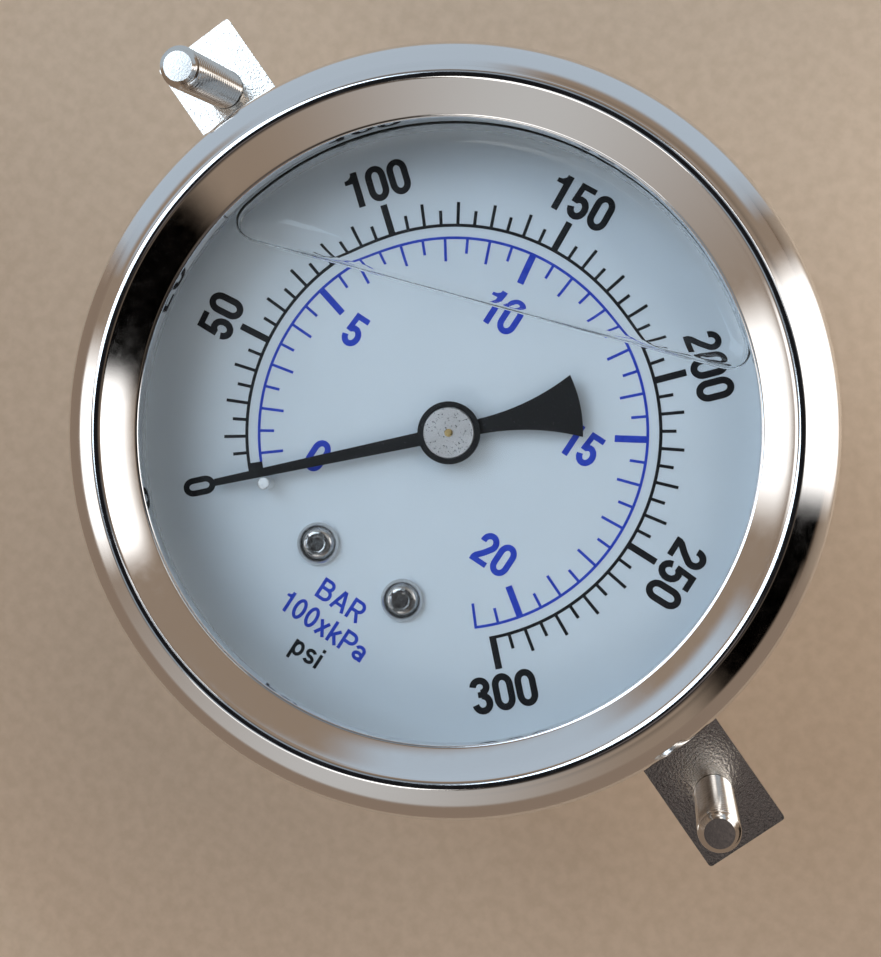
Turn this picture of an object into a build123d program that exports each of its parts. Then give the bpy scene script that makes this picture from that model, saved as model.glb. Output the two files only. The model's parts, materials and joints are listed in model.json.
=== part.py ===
from build123d import *
import os
from math import atan, cos, degrees, pi, radians, sin, sqrt, tan

# Panel-mounting, liquid-filled pressure gauge of 63 mm nominal size with a centre-back
# connection.  Millimetres.  The gauge axis is Z and the dial faces +Z.  12 o'clock is +Y.
# The origin is on the axis at the free end of the pressure connection.

os.makedirs("parts", exist_ok=True)


# ---------------------------------------------------------------- driving dimensions
PANEL_Z = 51.0  # rear face of the bezel, which seats on the panel

# case: a drawn cup with a flange at its mouth; depths are counted from the panel face
CASE_R = 31.0
CASE_WALL = 0.8
CASE_BACK = -27.0
CASE_CORNER_R = 2.5
FLANGE_R = 34.0
FLANGE_BACK = 0.75
FLANGE_FRONT = 1.55
BACK_HOLE_R = 7.5

# bezel ring, crimped round the flange
BEZEL_R = 34.9
BEZEL_HOOK_R = 32.0
BEZEL_SHEET = 0.75
CREST_TOP = 5.25
CREST_OUTER_R = 31.75
CREST_INNER_R = 30.65
OPENING_R = 28.0
LIP_TOP = 2.75
LIP_UNDER = 1.45
LIP_ROUND = 0.2
HOOK_ROUND = 0.9
RIM_TOP = 2.0
CREST_DROP_OUTER = 0.15
CREST_DROP_INNER = 0.25
# points that the rolled sheet passes through, on its outside and its inside
OUTER_SLOPE = (33.7, 3.9)
INNER_SLOPE = (29.45, 3.8)
UNDER_INNER_SLOPE = (30.1, 2.78)
UNDER_CREST = (31.2, 4.35)
UNDER_OUTER_SLOPE = (33.05, 3.4)
UNDER_RIM = 1.8

# window, gasket and dial
WINDOW_R = 29.5
WINDOW_THICK = 3.0
WINDOW_BACK = LIP_UNDER - WINDOW_THICK
WINDOW_GAP = 0.05
WINDOW_CHAMFER = 0.15
GASKET_BORE_R = 28.9
GASKET_R = 30.1
GASKET_BACK = -2.5
GASKET_FLAP_R = 33.0
GASKET_FLAP_INNER_R = 30.0
GASKET_FLAP_THICK = 0.65
DIAL_R = 29.6
DIAL_FRONT = -6.2
DIAL_THICK = 0.8
DIAL_BACK = DIAL_FRONT - DIAL_THICK
DIAL_HOLE_R = 1.6
DIAL_SCREW_X = 4.8
DIAL_SCREW_Y = -15.6

# pointer at zero, 135 degrees anticlockwise of 12 o'clock
ZERO_ANGLE = 225.0
POINTER_TIP_R = 22.8
POINTER_HUB_R = 2.92
POINTER_BORE_R = 2.4
POINTER_TAIL_R = 12.4
POINTER_TAIL_HALF_ANGLE = 13.6
POINTER_BACK = -4.9
POINTER_THICK = 0.4
STOP_PIN_R = 0.6
STOP_PIN_AT = 18.05
STOP_PIN_TOP = -3.4
STOP_PIN_SHANK_R = 0.5
STOP_PIN_PAST_ZERO = 3.4
STOP_PIN_ROUND = 0.15

# movement: plates, pillars, pinion and sector
FRONT_PLATE_FRONT = -8.2
FRONT_PLATE_BACK = -9.4
BACK_PLATE_FRONT = -15.2
BACK_PLATE_BACK = -16.4
PILLAR_SPOTS = [(8.5, 2.5), (-8.5, 2.5), (9.0, -11.0)]
PILLAR_R = 1.6
MODULE = 0.25
PINION_TEETH = 12
SECTOR_TEETH = 108
PRESSURE_ANGLE = 25.0
BACKLASH = 0.05
SECTOR_FRONT = -12.3
SECTOR_BACK = -13.3
ARBOR_R = 0.8
PIVOT_R = 0.5
RUNNING_GAP = 0.04
SHOULDER_GAP = 0.05
ARBOR_FLOAT = 0.15
PIVOT_SHORT = 0.2
SECTOR_TRAVEL = 30.0

# Bourdon tube: a flattened C, held at 12 o'clock and closed at its tip
TUBE_R = 20.5
TUBE_HALF_THICK = 1.2
TUBE_HALF_WIDTH = 4.0
TUBE_WALL = 0.35
TUBE_MID = -19.0
TUBE_ROOT_ANGLE = 97.3
TUBE_TIP_ANGLE = -146.0
TIP_PIN_ANGLE = -147.0
TAIL_ARM = 4.2
LINK_FRONT = -13.6
LINK_BACK = -14.3

# socket and pressure connection
SOCKET_R = 13.0
NECK_R = 7.0
HEX_FLATS = 14.0
HEX_BACK = -37.0
HEX_FRONT = -29.6
THREAD_R = 6.58
THREAD_LENGTH = 12.4
UNDERCUT = 0.75
STEM_CHAMFER = 0.8
PORT_R = 3.0
PORT_DEPTH = 16.0
CHANNEL_R = 1.5

# clamp bracket and its screws; the bracket lies 68.2 degrees anticlockwise of 12 o'clock
BRACKET_ANGLE = 158.2
STRIP_WIDTH = 9.0
STRIP_THICK = 1.5
LEG_INNER = 31.5
FOOT_END = 49.7
FOOT_FRONT = -15.7
BRACKET_RING_OUTER = 18.4
BRACKET_RING_INNER = 14.2
CLAMP_SCREW_AT = 43.9
CLAMP_SCREW_R = 2.0
CLAMP_SCREW_LENGTH = 25.0
CLAMP_SCREW_TIP = -1.1
CLAMP_TIP_CHAMFER = 0.6
CLAMP_SLOT_WIDTH = 0.8
CLAMP_SLOT_DEPTH = 1.3
# the bent feet aren't quite square, so each screw leans: its sideways travel per millimetre
CLAMP_LEAN_A = (0.041, -0.104)
CLAMP_LEAN_B = (-0.018, -0.025)
END_CHAMFER = 0.4
# extra radius of clearance holes and of bores that are pressed on
CLEARANCE = 0.1
PRESS_GAP = 0.01
STUD_AT = 24.0
STUD_R = 2.0
STUD_LENGTH = 8.5
NUT_FLATS = 7.0
NUT_THICK = 3.2
WASHER_THICK = 1.0

# fittings on the back
SIDE_ANGLE = BRACKET_ANGLE - 90.0
PLUG_AT = 22.8
PLUG_HOLE_R = 3.0
CASE_SCREW_AT = 11.0
CASE_SCREW_R = 1.5

# air bubble in the liquid: everything past a chord of the window
BUBBLE_ANGLE = 107.5
BUBBLE_CHORD = 12.2
LIQUID_FRONT_BACK = -3.1
LIQUID_SLEEVE_BORE = 25.2

# values worked out from the ones above
PINION_PITCH_R = MODULE * PINION_TEETH / 2
SECTOR_PITCH_R = MODULE * SECTOR_TEETH / 2
SECTOR_SPOT = (0.0, -(PINION_PITCH_R + SECTOR_PITCH_R))
ROOT_SPOT = (0.0, TUBE_R)
TIP_SPOT = (TUBE_R * cos(radians(TIP_PIN_ANGLE)), TUBE_R * sin(radians(TIP_PIN_ANGLE)))
# the link stands square to the sector's tail at mid travel
TIP_LEVER_ANGLE = degrees(atan((TIP_SPOT[1] - ROOT_SPOT[1]) / (TIP_SPOT[0] - ROOT_SPOT[0]))) - 180.0
TAIL_REST_ANGLE = TIP_LEVER_ANGLE - SECTOR_TRAVEL / 2
TAIL_SPOT = (
    SECTOR_SPOT[0] + TAIL_ARM * cos(radians(TAIL_REST_ANGLE)),
    SECTOR_SPOT[1] + TAIL_ARM * sin(radians(TAIL_REST_ANGLE)),
)


# ---------------------------------------------------------------- helpers
def level(depth):
    """Horizontal plane at a depth counted from the panel face."""
    return Plane.XY.offset(PANEL_Z + depth)


def radial_plane(angle):
    """Upright plane through the axis: local X points outwards at the angle, local Y is +Z."""
    a = radians(angle)
    return Plane(origin=(0, 0, PANEL_Z), x_dir=(cos(a), sin(a), 0), z_dir=(sin(a), -cos(a), 0))


def polar(radius, angle):
    """Point in the plan view from a radius and an angle."""
    return (radius * cos(radians(angle)), radius * sin(radians(angle)))


def leaning_plane(spot, lean):
    """Plane on the front of a foot, whose normal leans sideways; its local X follows the bracket."""
    return Plane(
        origin=(spot[0], spot[1], PANEL_Z + FOOT_FRONT),
        x_dir=(cos(radians(BRACKET_ANGLE)), sin(radians(BRACKET_ANGLE)), 0),
        z_dir=(lean[0], lean[1], 1),
    )


def pan_screw(head_r, head_height, shank_r, length):
    """Cross-recess pan-head screw whose seat is at the origin and whose shank points down."""
    with BuildPart() as screw:
        with BuildSketch(Plane.XZ):
            with BuildLine():
                Line((0, 0), (head_r, 0))
                Line((head_r, 0), (head_r, 0.35 * head_height))
                ThreePointArc(
                    (head_r, 0.35 * head_height),
                    (0.78 * head_r, 0.84 * head_height),
                    (0.35 * head_r, head_height),
                )
                Polyline((0.35 * head_r, head_height), (0, head_height), (0, 0))
            make_face()
        revolve(axis=Axis.Z)
        with BuildSketch(Plane.XY):
            Circle(shank_r)
        extrude(amount=-length)
        with BuildSketch(Plane.XY.offset(head_height)):
            Rectangle(1.15 * head_r, 0.26 * head_r)
            Rectangle(0.26 * head_r, 1.15 * head_r)
        extrude(amount=-0.55 * head_height, mode=Mode.SUBTRACT)
    return screw.part


def involute_tooth(pitch_r, teeth, tip_r, root_r):
    """Face of one gear tooth, centred on local +X, from inside the root circle to the tip."""
    base_r = pitch_r * cos(radians(PRESSURE_ANGLE))
    pressure = radians(PRESSURE_ANGLE)
    half_at_pitch = pi / (2 * teeth) - BACKLASH / (2 * pitch_r)
    half_at_base = half_at_pitch + tan(pressure) - pressure
    flank_start = max(base_r, root_r)
    radii = [flank_start + (tip_r - flank_start) * i / 4 for i in range(5)]
    flank = []
    for r in radii:
        roll = sqrt((r / base_r) ** 2 - 1)
        half = half_at_base - (roll - atan(roll))
        flank.append((r * cos(half), r * sin(half)))
    inner_r = root_r - 0.12
    half_inner = half_at_base * inner_r / flank_start
    foot = (inner_r * cos(half_inner), inner_r * sin(half_inner))
    with BuildSketch() as tooth:
        with BuildLine():
            Line(foot, flank[0])
            Spline(*flank)
            Line(flank[-1], (flank[-1][0], -flank[-1][1]))
            Spline(*[(x, -y) for x, y in flank])
            Line((flank[0][0], -flank[0][1]), (foot[0], -foot[1]))
            Line((foot[0], -foot[1]), foot)
        make_face()
    return tooth.sketch


def tube_section(angle, half_thick, half_width):
    """Flattened round-ended section of the Bourdon tube, upright at an angle."""
    with BuildSketch(radial_plane(angle)) as section:
        with Locations((TUBE_R, TUBE_MID)):
            SlotOverall(2 * half_width, 2 * half_thick, rotation=90)
    return section.sketch


def ring_segment(outer_r, inner_r, low, high):
    """Flat ring segment about the origin between two angles."""
    middle = (low + high) / 2
    with BuildSketch() as segment:
        with BuildLine():
            ThreePointArc(polar(outer_r, low), polar(outer_r, middle), polar(outer_r, high))
            Line(polar(outer_r, high), polar(inner_r, high))
            ThreePointArc(polar(inner_r, high), polar(inner_r, middle), polar(inner_r, low))
            Line(polar(inner_r, low), polar(outer_r, low))
        make_face()
    return segment.sketch


# ---------------------------------------------------------------- case
with BuildPart() as case:
    with BuildSketch(radial_plane(0)):
        with BuildLine():
            Line((BACK_HOLE_R, CASE_BACK), (CASE_R - CASE_CORNER_R, CASE_BACK))
            RadiusArc(
                (CASE_R - CASE_CORNER_R, CASE_BACK),
                (CASE_R, CASE_BACK + CASE_CORNER_R),
                -CASE_CORNER_R,
            )
            Polyline(
                (CASE_R, CASE_BACK + CASE_CORNER_R),
                (CASE_R, FLANGE_BACK),
                (FLANGE_R, FLANGE_BACK),
                (FLANGE_R, FLANGE_FRONT),
                (CASE_R - CASE_WALL, FLANGE_FRONT),
                (CASE_R - CASE_WALL, CASE_BACK + CASE_CORNER_R),
            )
            RadiusArc(
                (CASE_R - CASE_WALL, CASE_BACK + CASE_CORNER_R),
                (CASE_R - CASE_CORNER_R, CASE_BACK + CASE_WALL),
                CASE_CORNER_R - CASE_WALL,
            )
            Polyline(
                (CASE_R - CASE_CORNER_R, CASE_BACK + CASE_WALL),
                (BACK_HOLE_R, CASE_BACK + CASE_WALL),
                (BACK_HOLE_R, CASE_BACK),
            )
        make_face()
    revolve(axis=Axis.Z)
    with BuildSketch(level(CASE_BACK)):
        with Locations(polar(PLUG_AT, SIDE_ANGLE)):
            Circle(PLUG_HOLE_R)
        with Locations(polar(CASE_SCREW_AT, SIDE_ANGLE), polar(-CASE_SCREW_AT, SIDE_ANGLE)):
            Circle(CASE_SCREW_R + CLEARANCE)
    extrude(amount=CASE_WALL, mode=Mode.SUBTRACT)
case.part.label = "case"
export_step(case.part, "parts/case.step")

# ---------------------------------------------------------------- bezel
CREST_OUTER = (CREST_OUTER_R, CREST_TOP - CREST_DROP_OUTER)
CREST = ((CREST_OUTER_R + CREST_INNER_R) / 2, CREST_TOP)
CREST_INNER = (CREST_INNER_R, CREST_TOP - CREST_DROP_INNER)
LIP_HEEL = (OPENING_R + 0.95, LIP_UNDER)
with BuildPart() as bezel:
    with BuildSketch(radial_plane(0)):
        with BuildLine():
            Line((BEZEL_HOOK_R, 0), (BEZEL_R - HOOK_ROUND, 0))
            RadiusArc((BEZEL_R - HOOK_ROUND, 0), (BEZEL_R, HOOK_ROUND), -HOOK_ROUND)
            Line((BEZEL_R, HOOK_ROUND), (BEZEL_R, RIM_TOP))
            ThreePointArc((BEZEL_R, RIM_TOP), OUTER_SLOPE, CREST_OUTER)
            ThreePointArc(CREST_OUTER, CREST, CREST_INNER)
            ThreePointArc(CREST_INNER, INNER_SLOPE, (OPENING_R + LIP_ROUND, LIP_TOP))
            RadiusArc(
                (OPENING_R + LIP_ROUND, LIP_TOP), (OPENING_R, LIP_TOP - LIP_ROUND), LIP_ROUND
            )
            Polyline((OPENING_R, LIP_TOP - LIP_ROUND), (OPENING_R, LIP_UNDER), LIP_HEEL)
            ThreePointArc(LIP_HEEL, UNDER_INNER_SLOPE, UNDER_CREST)
            ThreePointArc(UNDER_CREST, UNDER_OUTER_SLOPE, (BEZEL_R - BEZEL_SHEET, UNDER_RIM))
            Polyline(
                (BEZEL_R - BEZEL_SHEET, UNDER_RIM),
                (BEZEL_R - BEZEL_SHEET, FLANGE_BACK),
                (BEZEL_HOOK_R, FLANGE_BACK),
                (BEZEL_HOOK_R, 0),
            )
        make_face()
    revolve(axis=Axis.Z)
bezel.part.label = "bezel"
export_step(bezel.part, "parts/bezel.step")

# ---------------------------------------------------------------- window and its gasket
with BuildPart() as window:
    with BuildSketch(level(WINDOW_BACK)):
        Circle(WINDOW_R)
    extrude(amount=WINDOW_THICK)
    chamfer(window.edges().filter_by(GeomType.CIRCLE), WINDOW_CHAMFER)
window.part.label = "window"
export_step(window.part, "parts/window.step")

with BuildPart() as window_gasket:
    with BuildSketch(radial_plane(0)):
        with BuildLine():
            Polyline(
                (GASKET_BORE_R, GASKET_BACK),
                (GASKET_R, GASKET_BACK),
                (GASKET_R, FLANGE_FRONT),
                (GASKET_FLAP_R, FLANGE_FRONT),
                (GASKET_FLAP_R, FLANGE_FRONT + GASKET_FLAP_THICK),
                (GASKET_FLAP_INNER_R, FLANGE_FRONT + GASKET_FLAP_THICK),
                (WINDOW_R + WINDOW_GAP, LIP_UNDER),
                (WINDOW_R + WINDOW_GAP, WINDOW_BACK),
                (GASKET_BORE_R, WINDOW_BACK),
                close=True,
            )
        make_face()
    revolve(axis=Axis.Z)
window_gasket.part.label = "window_gasket"
export_step(window_gasket.part, "parts/window_gasket.step")

# ---------------------------------------------------------------- dial, its posts, screws and stop pin
STOP_PIN_SPOT = polar(STOP_PIN_AT, ZERO_ANGLE + STOP_PIN_PAST_ZERO)
DIAL_SCREW_SPOTS = [(DIAL_SCREW_X, DIAL_SCREW_Y), (-DIAL_SCREW_X, DIAL_SCREW_Y)]
DIAL_SCREW_R = 1.0
DIAL_POST_R = 1.9
THREAD_GAP = 0.02

with BuildPart() as dial:
    with BuildSketch(level(DIAL_BACK)):
        Circle(DIAL_R)
        Circle(DIAL_HOLE_R, mode=Mode.SUBTRACT)
        with Locations(*DIAL_SCREW_SPOTS):
            Circle(DIAL_SCREW_R + CLEARANCE, mode=Mode.SUBTRACT)
        with Locations(STOP_PIN_SPOT):
            Circle(STOP_PIN_SHANK_R, mode=Mode.SUBTRACT)
    extrude(amount=DIAL_THICK)
dial.part.label = "dial"
export_step(dial.part, "parts/dial.step")

with BuildPart() as dial_posts:
    with BuildSketch(level(FRONT_PLATE_FRONT)):
        with Locations(*DIAL_SCREW_SPOTS):
            Circle(DIAL_POST_R)
            Circle(DIAL_SCREW_R + THREAD_GAP, mode=Mode.SUBTRACT)
    extrude(amount=DIAL_BACK - FRONT_PLATE_FRONT)
dial_posts.part.label = "dial_posts"
export_step(dial_posts.part, "parts/dial_posts.step")

dial_screw = pan_screw(head_r=2.0, head_height=1.25, shank_r=DIAL_SCREW_R, length=3.5)
with BuildPart() as dial_screws:
    with Locations(*[(x, y, PANEL_Z + DIAL_FRONT) for x, y in DIAL_SCREW_SPOTS]):
        add(dial_screw)
dial_screws.part.label = "dial_screws"
export_step(dial_screws.part, "parts/dial_screws.step")

with BuildPart() as stop_pin:
    with BuildSketch(level(DIAL_FRONT)):
        with Locations(STOP_PIN_SPOT):
            Circle(STOP_PIN_R)
    extrude(amount=STOP_PIN_TOP - DIAL_FRONT)
    fillet(stop_pin.faces().sort_by(Axis.Z)[-1].edges(), STOP_PIN_ROUND)
    with BuildSketch(level(DIAL_FRONT)):
        with Locations(STOP_PIN_SPOT):
            Circle(STOP_PIN_SHANK_R - THREAD_GAP)
    extrude(amount=-DIAL_THICK)
stop_pin.part.label = "stop_pin"
export_step(stop_pin.part, "parts/stop_pin.step")

# ---------------------------------------------------------------- pointer and its hub
POINTER_PLANE = Plane(
    origin=(0, 0, PANEL_Z + POINTER_BACK),
    x_dir=(cos(radians(ZERO_ANGLE)), sin(radians(ZERO_ANGLE)), 0),
    z_dir=(0, 0, 1),
)
TAIL_X = -POINTER_TAIL_R * cos(radians(POINTER_TAIL_HALF_ANGLE))
TAIL_Y = POINTER_TAIL_R * sin(radians(POINTER_TAIL_HALF_ANGLE))
ARM_ROOT_HALF = 0.66
ARM_TIP_HALF = 0.34
NECK_HALF = 0.75
ARM_START_X = 1.0
WAIST_X = -6.6
WAIST_HALF = NECK_HALF + 0.35
HUB_RING_RISE = 0.45

with BuildPart() as pointer:
    with BuildSketch(POINTER_PLANE):
        Circle(POINTER_HUB_R)
        with BuildLine():
            Polyline(
                (ARM_START_X, ARM_ROOT_HALF),
                (POINTER_TIP_R, ARM_TIP_HALF),
                (POINTER_TIP_R, -ARM_TIP_HALF),
                (ARM_START_X, -ARM_ROOT_HALF),
                close=True,
            )
        make_face()
        with BuildLine():
            Line((-ARM_START_X, -NECK_HALF), (-ARM_START_X, NECK_HALF))
            ThreePointArc((-ARM_START_X, NECK_HALF), (WAIST_X, WAIST_HALF), (TAIL_X, TAIL_Y))
            ThreePointArc((TAIL_X, TAIL_Y), (-POINTER_TAIL_R, 0), (TAIL_X, -TAIL_Y))
            ThreePointArc((TAIL_X, -TAIL_Y), (WAIST_X, -WAIST_HALF), (-ARM_START_X, -NECK_HALF))
        make_face()
        Circle(POINTER_BORE_R, mode=Mode.SUBTRACT)
    extrude(amount=POINTER_THICK)
    with BuildSketch(level(POINTER_BACK)):
        Circle(POINTER_HUB_R)
        Circle(POINTER_BORE_R, mode=Mode.SUBTRACT)
    extrude(amount=POINTER_THICK + HUB_RING_RISE)
pointer.part.label = "pointer"
export_step(pointer.part, "parts/pointer.step")

HUB_TOP = -3.95
HUB_BOTTOM = -5.8
SHAFT_TIP_R = 0.37
SHAFT_STEP = 0.5
SHAFT_TIP_RISE = 0.2
HUB_BOSS_R = 1.7
HUB_ROUND = 0.12
with BuildPart() as pointer_hub:
    with BuildSketch(level(HUB_BOTTOM)):
        Circle(HUB_BOSS_R)
    extrude(amount=POINTER_BACK - HUB_BOTTOM)
    with BuildSketch(level(POINTER_BACK)):
        Circle(POINTER_BORE_R - THREAD_GAP)
    extrude(amount=HUB_TOP - POINTER_BACK)
    fillet(pointer_hub.faces().sort_by(Axis.Z)[-1].edges(), HUB_ROUND)
    with BuildSketch(level(HUB_BOTTOM)):
        Circle(PIVOT_R + PRESS_GAP)
    extrude(amount=HUB_TOP - HUB_BOTTOM - SHAFT_STEP, mode=Mode.SUBTRACT)
    with BuildSketch(level(HUB_BOTTOM)):
        Circle(SHAFT_TIP_R + PRESS_GAP)
    extrude(amount=HUB_TOP - HUB_BOTTOM, mode=Mode.SUBTRACT)
pointer_hub.part.label = "pointer_hub"
export_step(pointer_hub.part, "parts/pointer_hub.step")

# ---------------------------------------------------------------- pinion shaft
PINION_ROOT_R = PINION_PITCH_R - 1.25 * MODULE
PINION_TIP_R = PINION_PITCH_R + MODULE
PINION_OVERHANG = 0.6
SHAFT_COLLAR_R = 1.3
SHAFT_COLLAR_THICK = 0.4
SHAFT_COLLAR_DROP = 0.6
pinion_tooth = involute_tooth(PINION_PITCH_R, PINION_TEETH, PINION_TIP_R, PINION_ROOT_R)

with BuildPart() as pinion_shaft:
    with BuildSketch(level(SECTOR_BACK - PINION_OVERHANG)):
        Circle(PINION_ROOT_R)
        # a tooth space faces the sector's shaft
        with PolarLocations(0, PINION_TEETH, start_angle=-90 + 180 / PINION_TEETH):
            add(pinion_tooth)
    extrude(amount=SECTOR_FRONT - SECTOR_BACK + 2 * PINION_OVERHANG)
    with BuildSketch(level(BACK_PLATE_FRONT + ARBOR_FLOAT)):
        Circle(ARBOR_R)
    extrude(amount=HUB_BOTTOM - BACK_PLATE_FRONT - ARBOR_FLOAT)
    with BuildSketch(level(BACK_PLATE_BACK + PIVOT_SHORT)):
        Circle(PIVOT_R)
    extrude(amount=HUB_TOP - SHAFT_STEP - BACK_PLATE_BACK - PIVOT_SHORT)
    with BuildSketch(level(HUB_BOTTOM)):
        Circle(SHAFT_TIP_R)
    extrude(amount=HUB_TOP + SHAFT_TIP_RISE - HUB_BOTTOM)
    with BuildSketch(level(FRONT_PLATE_BACK - SHAFT_COLLAR_DROP)):
        Circle(SHAFT_COLLAR_R)
    extrude(amount=SHAFT_COLLAR_THICK)
pinion_shaft.part.label = "pinion_shaft"
export_step(pinion_shaft.part, "parts/pinion_shaft.step")

# ---------------------------------------------------------------- hairspring with collet and stud
SPRING_INNER_R = 1.95
SPRING_OUTER_R = 5.6
SPRING_TURNS = 4
SPRING_THICK = 0.14
SPRING_WIDTH = 0.7
SPRING_BACK = -11.1
SPRING_STUD_R = 0.5
SPRING_STUD_PAST = 0.2
COLLET_BACK = -11.2
COLLET_R = 1.65
COLLET_HEIGHT = SPRING_WIDTH + 0.2
COLLET_SLIT = (1.2, 0.25)
COLLET_SLIT_AT = 1.3


def spiral_points(offset):
    """Points of the spring's spiral, eight to a turn, moved outwards by an offset."""
    count = 8 * SPRING_TURNS
    pitch = (SPRING_OUTER_R - SPRING_INNER_R) / count
    return [polar(SPRING_INNER_R + pitch * i + offset, 45 * i) for i in range(count + 1)]


with BuildPart() as hairspring:
    with BuildSketch(level(SPRING_BACK)):
        with BuildLine():
            inner_side = Spline(*spiral_points(0))
            outer_side = Spline(*spiral_points(SPRING_THICK))
            Line(inner_side @ 0, outer_side @ 0)
            Line(inner_side @ 1, outer_side @ 1)
        make_face()
    extrude(amount=SPRING_WIDTH)
hairspring.part.label = "hairspring"
export_step(hairspring.part, "parts/hairspring.step")

with BuildPart() as hairspring_stud:
    with BuildSketch(level(FRONT_PLATE_BACK)):
        with Locations((SPRING_OUTER_R + SPRING_THICK + SPRING_STUD_R, 0)):
            Circle(SPRING_STUD_R)
    extrude(amount=SPRING_BACK - FRONT_PLATE_BACK - SPRING_STUD_PAST)
hairspring_stud.part.label = "hairspring_stud"
export_step(hairspring_stud.part, "parts/hairspring_stud.step")

with BuildPart() as hairspring_collet:
    with BuildSketch(level(COLLET_BACK)):
        Circle(COLLET_R)
        Circle(ARBOR_R + PRESS_GAP, mode=Mode.SUBTRACT)
        with Locations((COLLET_SLIT_AT, 0)):
            Rectangle(*COLLET_SLIT, mode=Mode.SUBTRACT)
    extrude(amount=COLLET_HEIGHT)
hairspring_collet.part.label = "hairspring_collet"
export_step(hairspring_collet.part, "parts/hairspring_collet.step")

# ---------------------------------------------------------------- sector gear, its shaft and tail screw
SECTOR_ROOT_R = SECTOR_PITCH_R - 1.25 * MODULE
SECTOR_TIP_R = SECTOR_PITCH_R + MODULE
SECTOR_RIM_R = SECTOR_ROOT_R - 1.6
SECTOR_TOOTH_STEP = 360 / SECTOR_TEETH
SECTOR_FIRST_TOOTH = -2
SECTOR_LAST_TOOTH = 12
SECTOR_HIGH = 90 - SECTOR_TOOTH_STEP * (SECTOR_FIRST_TOOTH - 0.5)
SECTOR_LOW = 90 - SECTOR_TOOTH_STEP * (SECTOR_LAST_TOOTH + 0.5)
SECTOR_HUB_R = 2.4
SPOKE_WIDTH = 1.9
SPOKE_MIDDLE = SECTOR_RIM_R / 2 + 0.4
SPOKE_INSET_ANGLE = 5.0
TAIL_EYE_R = 1.6
TAIL_WIDTH = 2.6
SECTOR_COLLAR_R = 1.9
SECTOR_BACK_COLLAR_R = 1.5
SECTOR_COLLAR_THICK = 0.9
LINK_PIN_R = 0.75
LINK_PIN_SLOT = 0.3
sector_tooth = involute_tooth(SECTOR_PITCH_R, SECTOR_TEETH, SECTOR_TIP_R, SECTOR_ROOT_R)
sector_rim = ring_segment(SECTOR_ROOT_R, SECTOR_RIM_R, SECTOR_LOW, SECTOR_HIGH)
SECTOR_PLANE = Plane(origin=(SECTOR_SPOT[0], SECTOR_SPOT[1], PANEL_Z + SECTOR_BACK))
TAIL_LOCAL = polar(TAIL_ARM, TAIL_REST_ANGLE)
with BuildPart() as sector_gear:
    with BuildSketch(SECTOR_PLANE):
        add(sector_rim)
        for tooth in range(SECTOR_FIRST_TOOTH, SECTOR_LAST_TOOTH + 1):
            with PolarLocations(0, 1, start_angle=90 - SECTOR_TOOTH_STEP * tooth):
                add(sector_tooth)
        for spoke in (SECTOR_LOW + SPOKE_INSET_ANGLE, SECTOR_HIGH - SPOKE_INSET_ANGLE):
            with PolarLocations(0, 1, start_angle=spoke):
                with Locations((SPOKE_MIDDLE, 0)):
                    Rectangle(SECTOR_RIM_R, SPOKE_WIDTH)
        Circle(SECTOR_HUB_R)
        with Locations(TAIL_LOCAL):
            Circle(TAIL_EYE_R)
        with PolarLocations(0, 1, start_angle=TAIL_REST_ANGLE):
            with Locations((TAIL_ARM / 2, 0)):
                Rectangle(TAIL_ARM, TAIL_WIDTH)
        Circle(ARBOR_R + PRESS_GAP, mode=Mode.SUBTRACT)
        with Locations(TAIL_LOCAL):
            Circle(LINK_PIN_R + PRESS_GAP, mode=Mode.SUBTRACT)
    extrude(amount=SECTOR_FRONT - SECTOR_BACK)
sector_gear.part.label = "sector_gear"
export_step(sector_gear.part, "parts/sector_gear.step")

with BuildPart() as sector_shaft:
    with BuildSketch(level(BACK_PLATE_FRONT + ARBOR_FLOAT)):
        with Locations(SECTOR_SPOT):
            Circle(ARBOR_R)
    extrude(amount=FRONT_PLATE_BACK - BACK_PLATE_FRONT - 2 * ARBOR_FLOAT)
    with BuildSketch(level(BACK_PLATE_BACK + PIVOT_SHORT)):
        with Locations(SECTOR_SPOT):
            Circle(PIVOT_R)
    extrude(amount=FRONT_PLATE_FRONT - BACK_PLATE_BACK - 2 * PIVOT_SHORT)
    with BuildSketch(level(SECTOR_FRONT)):
        with Locations(SECTOR_SPOT):
            Circle(SECTOR_COLLAR_R)
    extrude(amount=SECTOR_COLLAR_THICK)
    with BuildSketch(level(SECTOR_BACK)):
        with Locations(SECTOR_SPOT):
            Circle(SECTOR_BACK_COLLAR_R)
    extrude(amount=-SECTOR_COLLAR_THICK)
sector_shaft.part.label = "sector_shaft"
export_step(sector_shaft.part, "parts/sector_shaft.step")

TAIL_SCREW_HEAD_R = 1.25
TAIL_SCREW_HEAD_THICK = 0.6
TAIL_SCREW_HEAD_FRONT = LINK_BACK - SHOULDER_GAP
with BuildPart() as tail_screw:
    with BuildSketch(level(SECTOR_FRONT)):
        with Locations(TAIL_SPOT):
            Circle(LINK_PIN_R)
    extrude(amount=TAIL_SCREW_HEAD_FRONT - SECTOR_FRONT)
    with BuildSketch(level(TAIL_SCREW_HEAD_FRONT)):
        with Locations(TAIL_SPOT):
            Circle(TAIL_SCREW_HEAD_R)
    extrude(amount=-TAIL_SCREW_HEAD_THICK)
    with BuildSketch(level(TAIL_SCREW_HEAD_FRONT - TAIL_SCREW_HEAD_THICK)):
        with Locations(TAIL_SPOT):
            Rectangle(2.2 * TAIL_SCREW_HEAD_R, LINK_PIN_SLOT)
    extrude(amount=LINK_PIN_SLOT, mode=Mode.SUBTRACT)
tail_screw.part.label = "tail_screw"
export_step(tail_screw.part, "parts/tail_screw.step")

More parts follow.
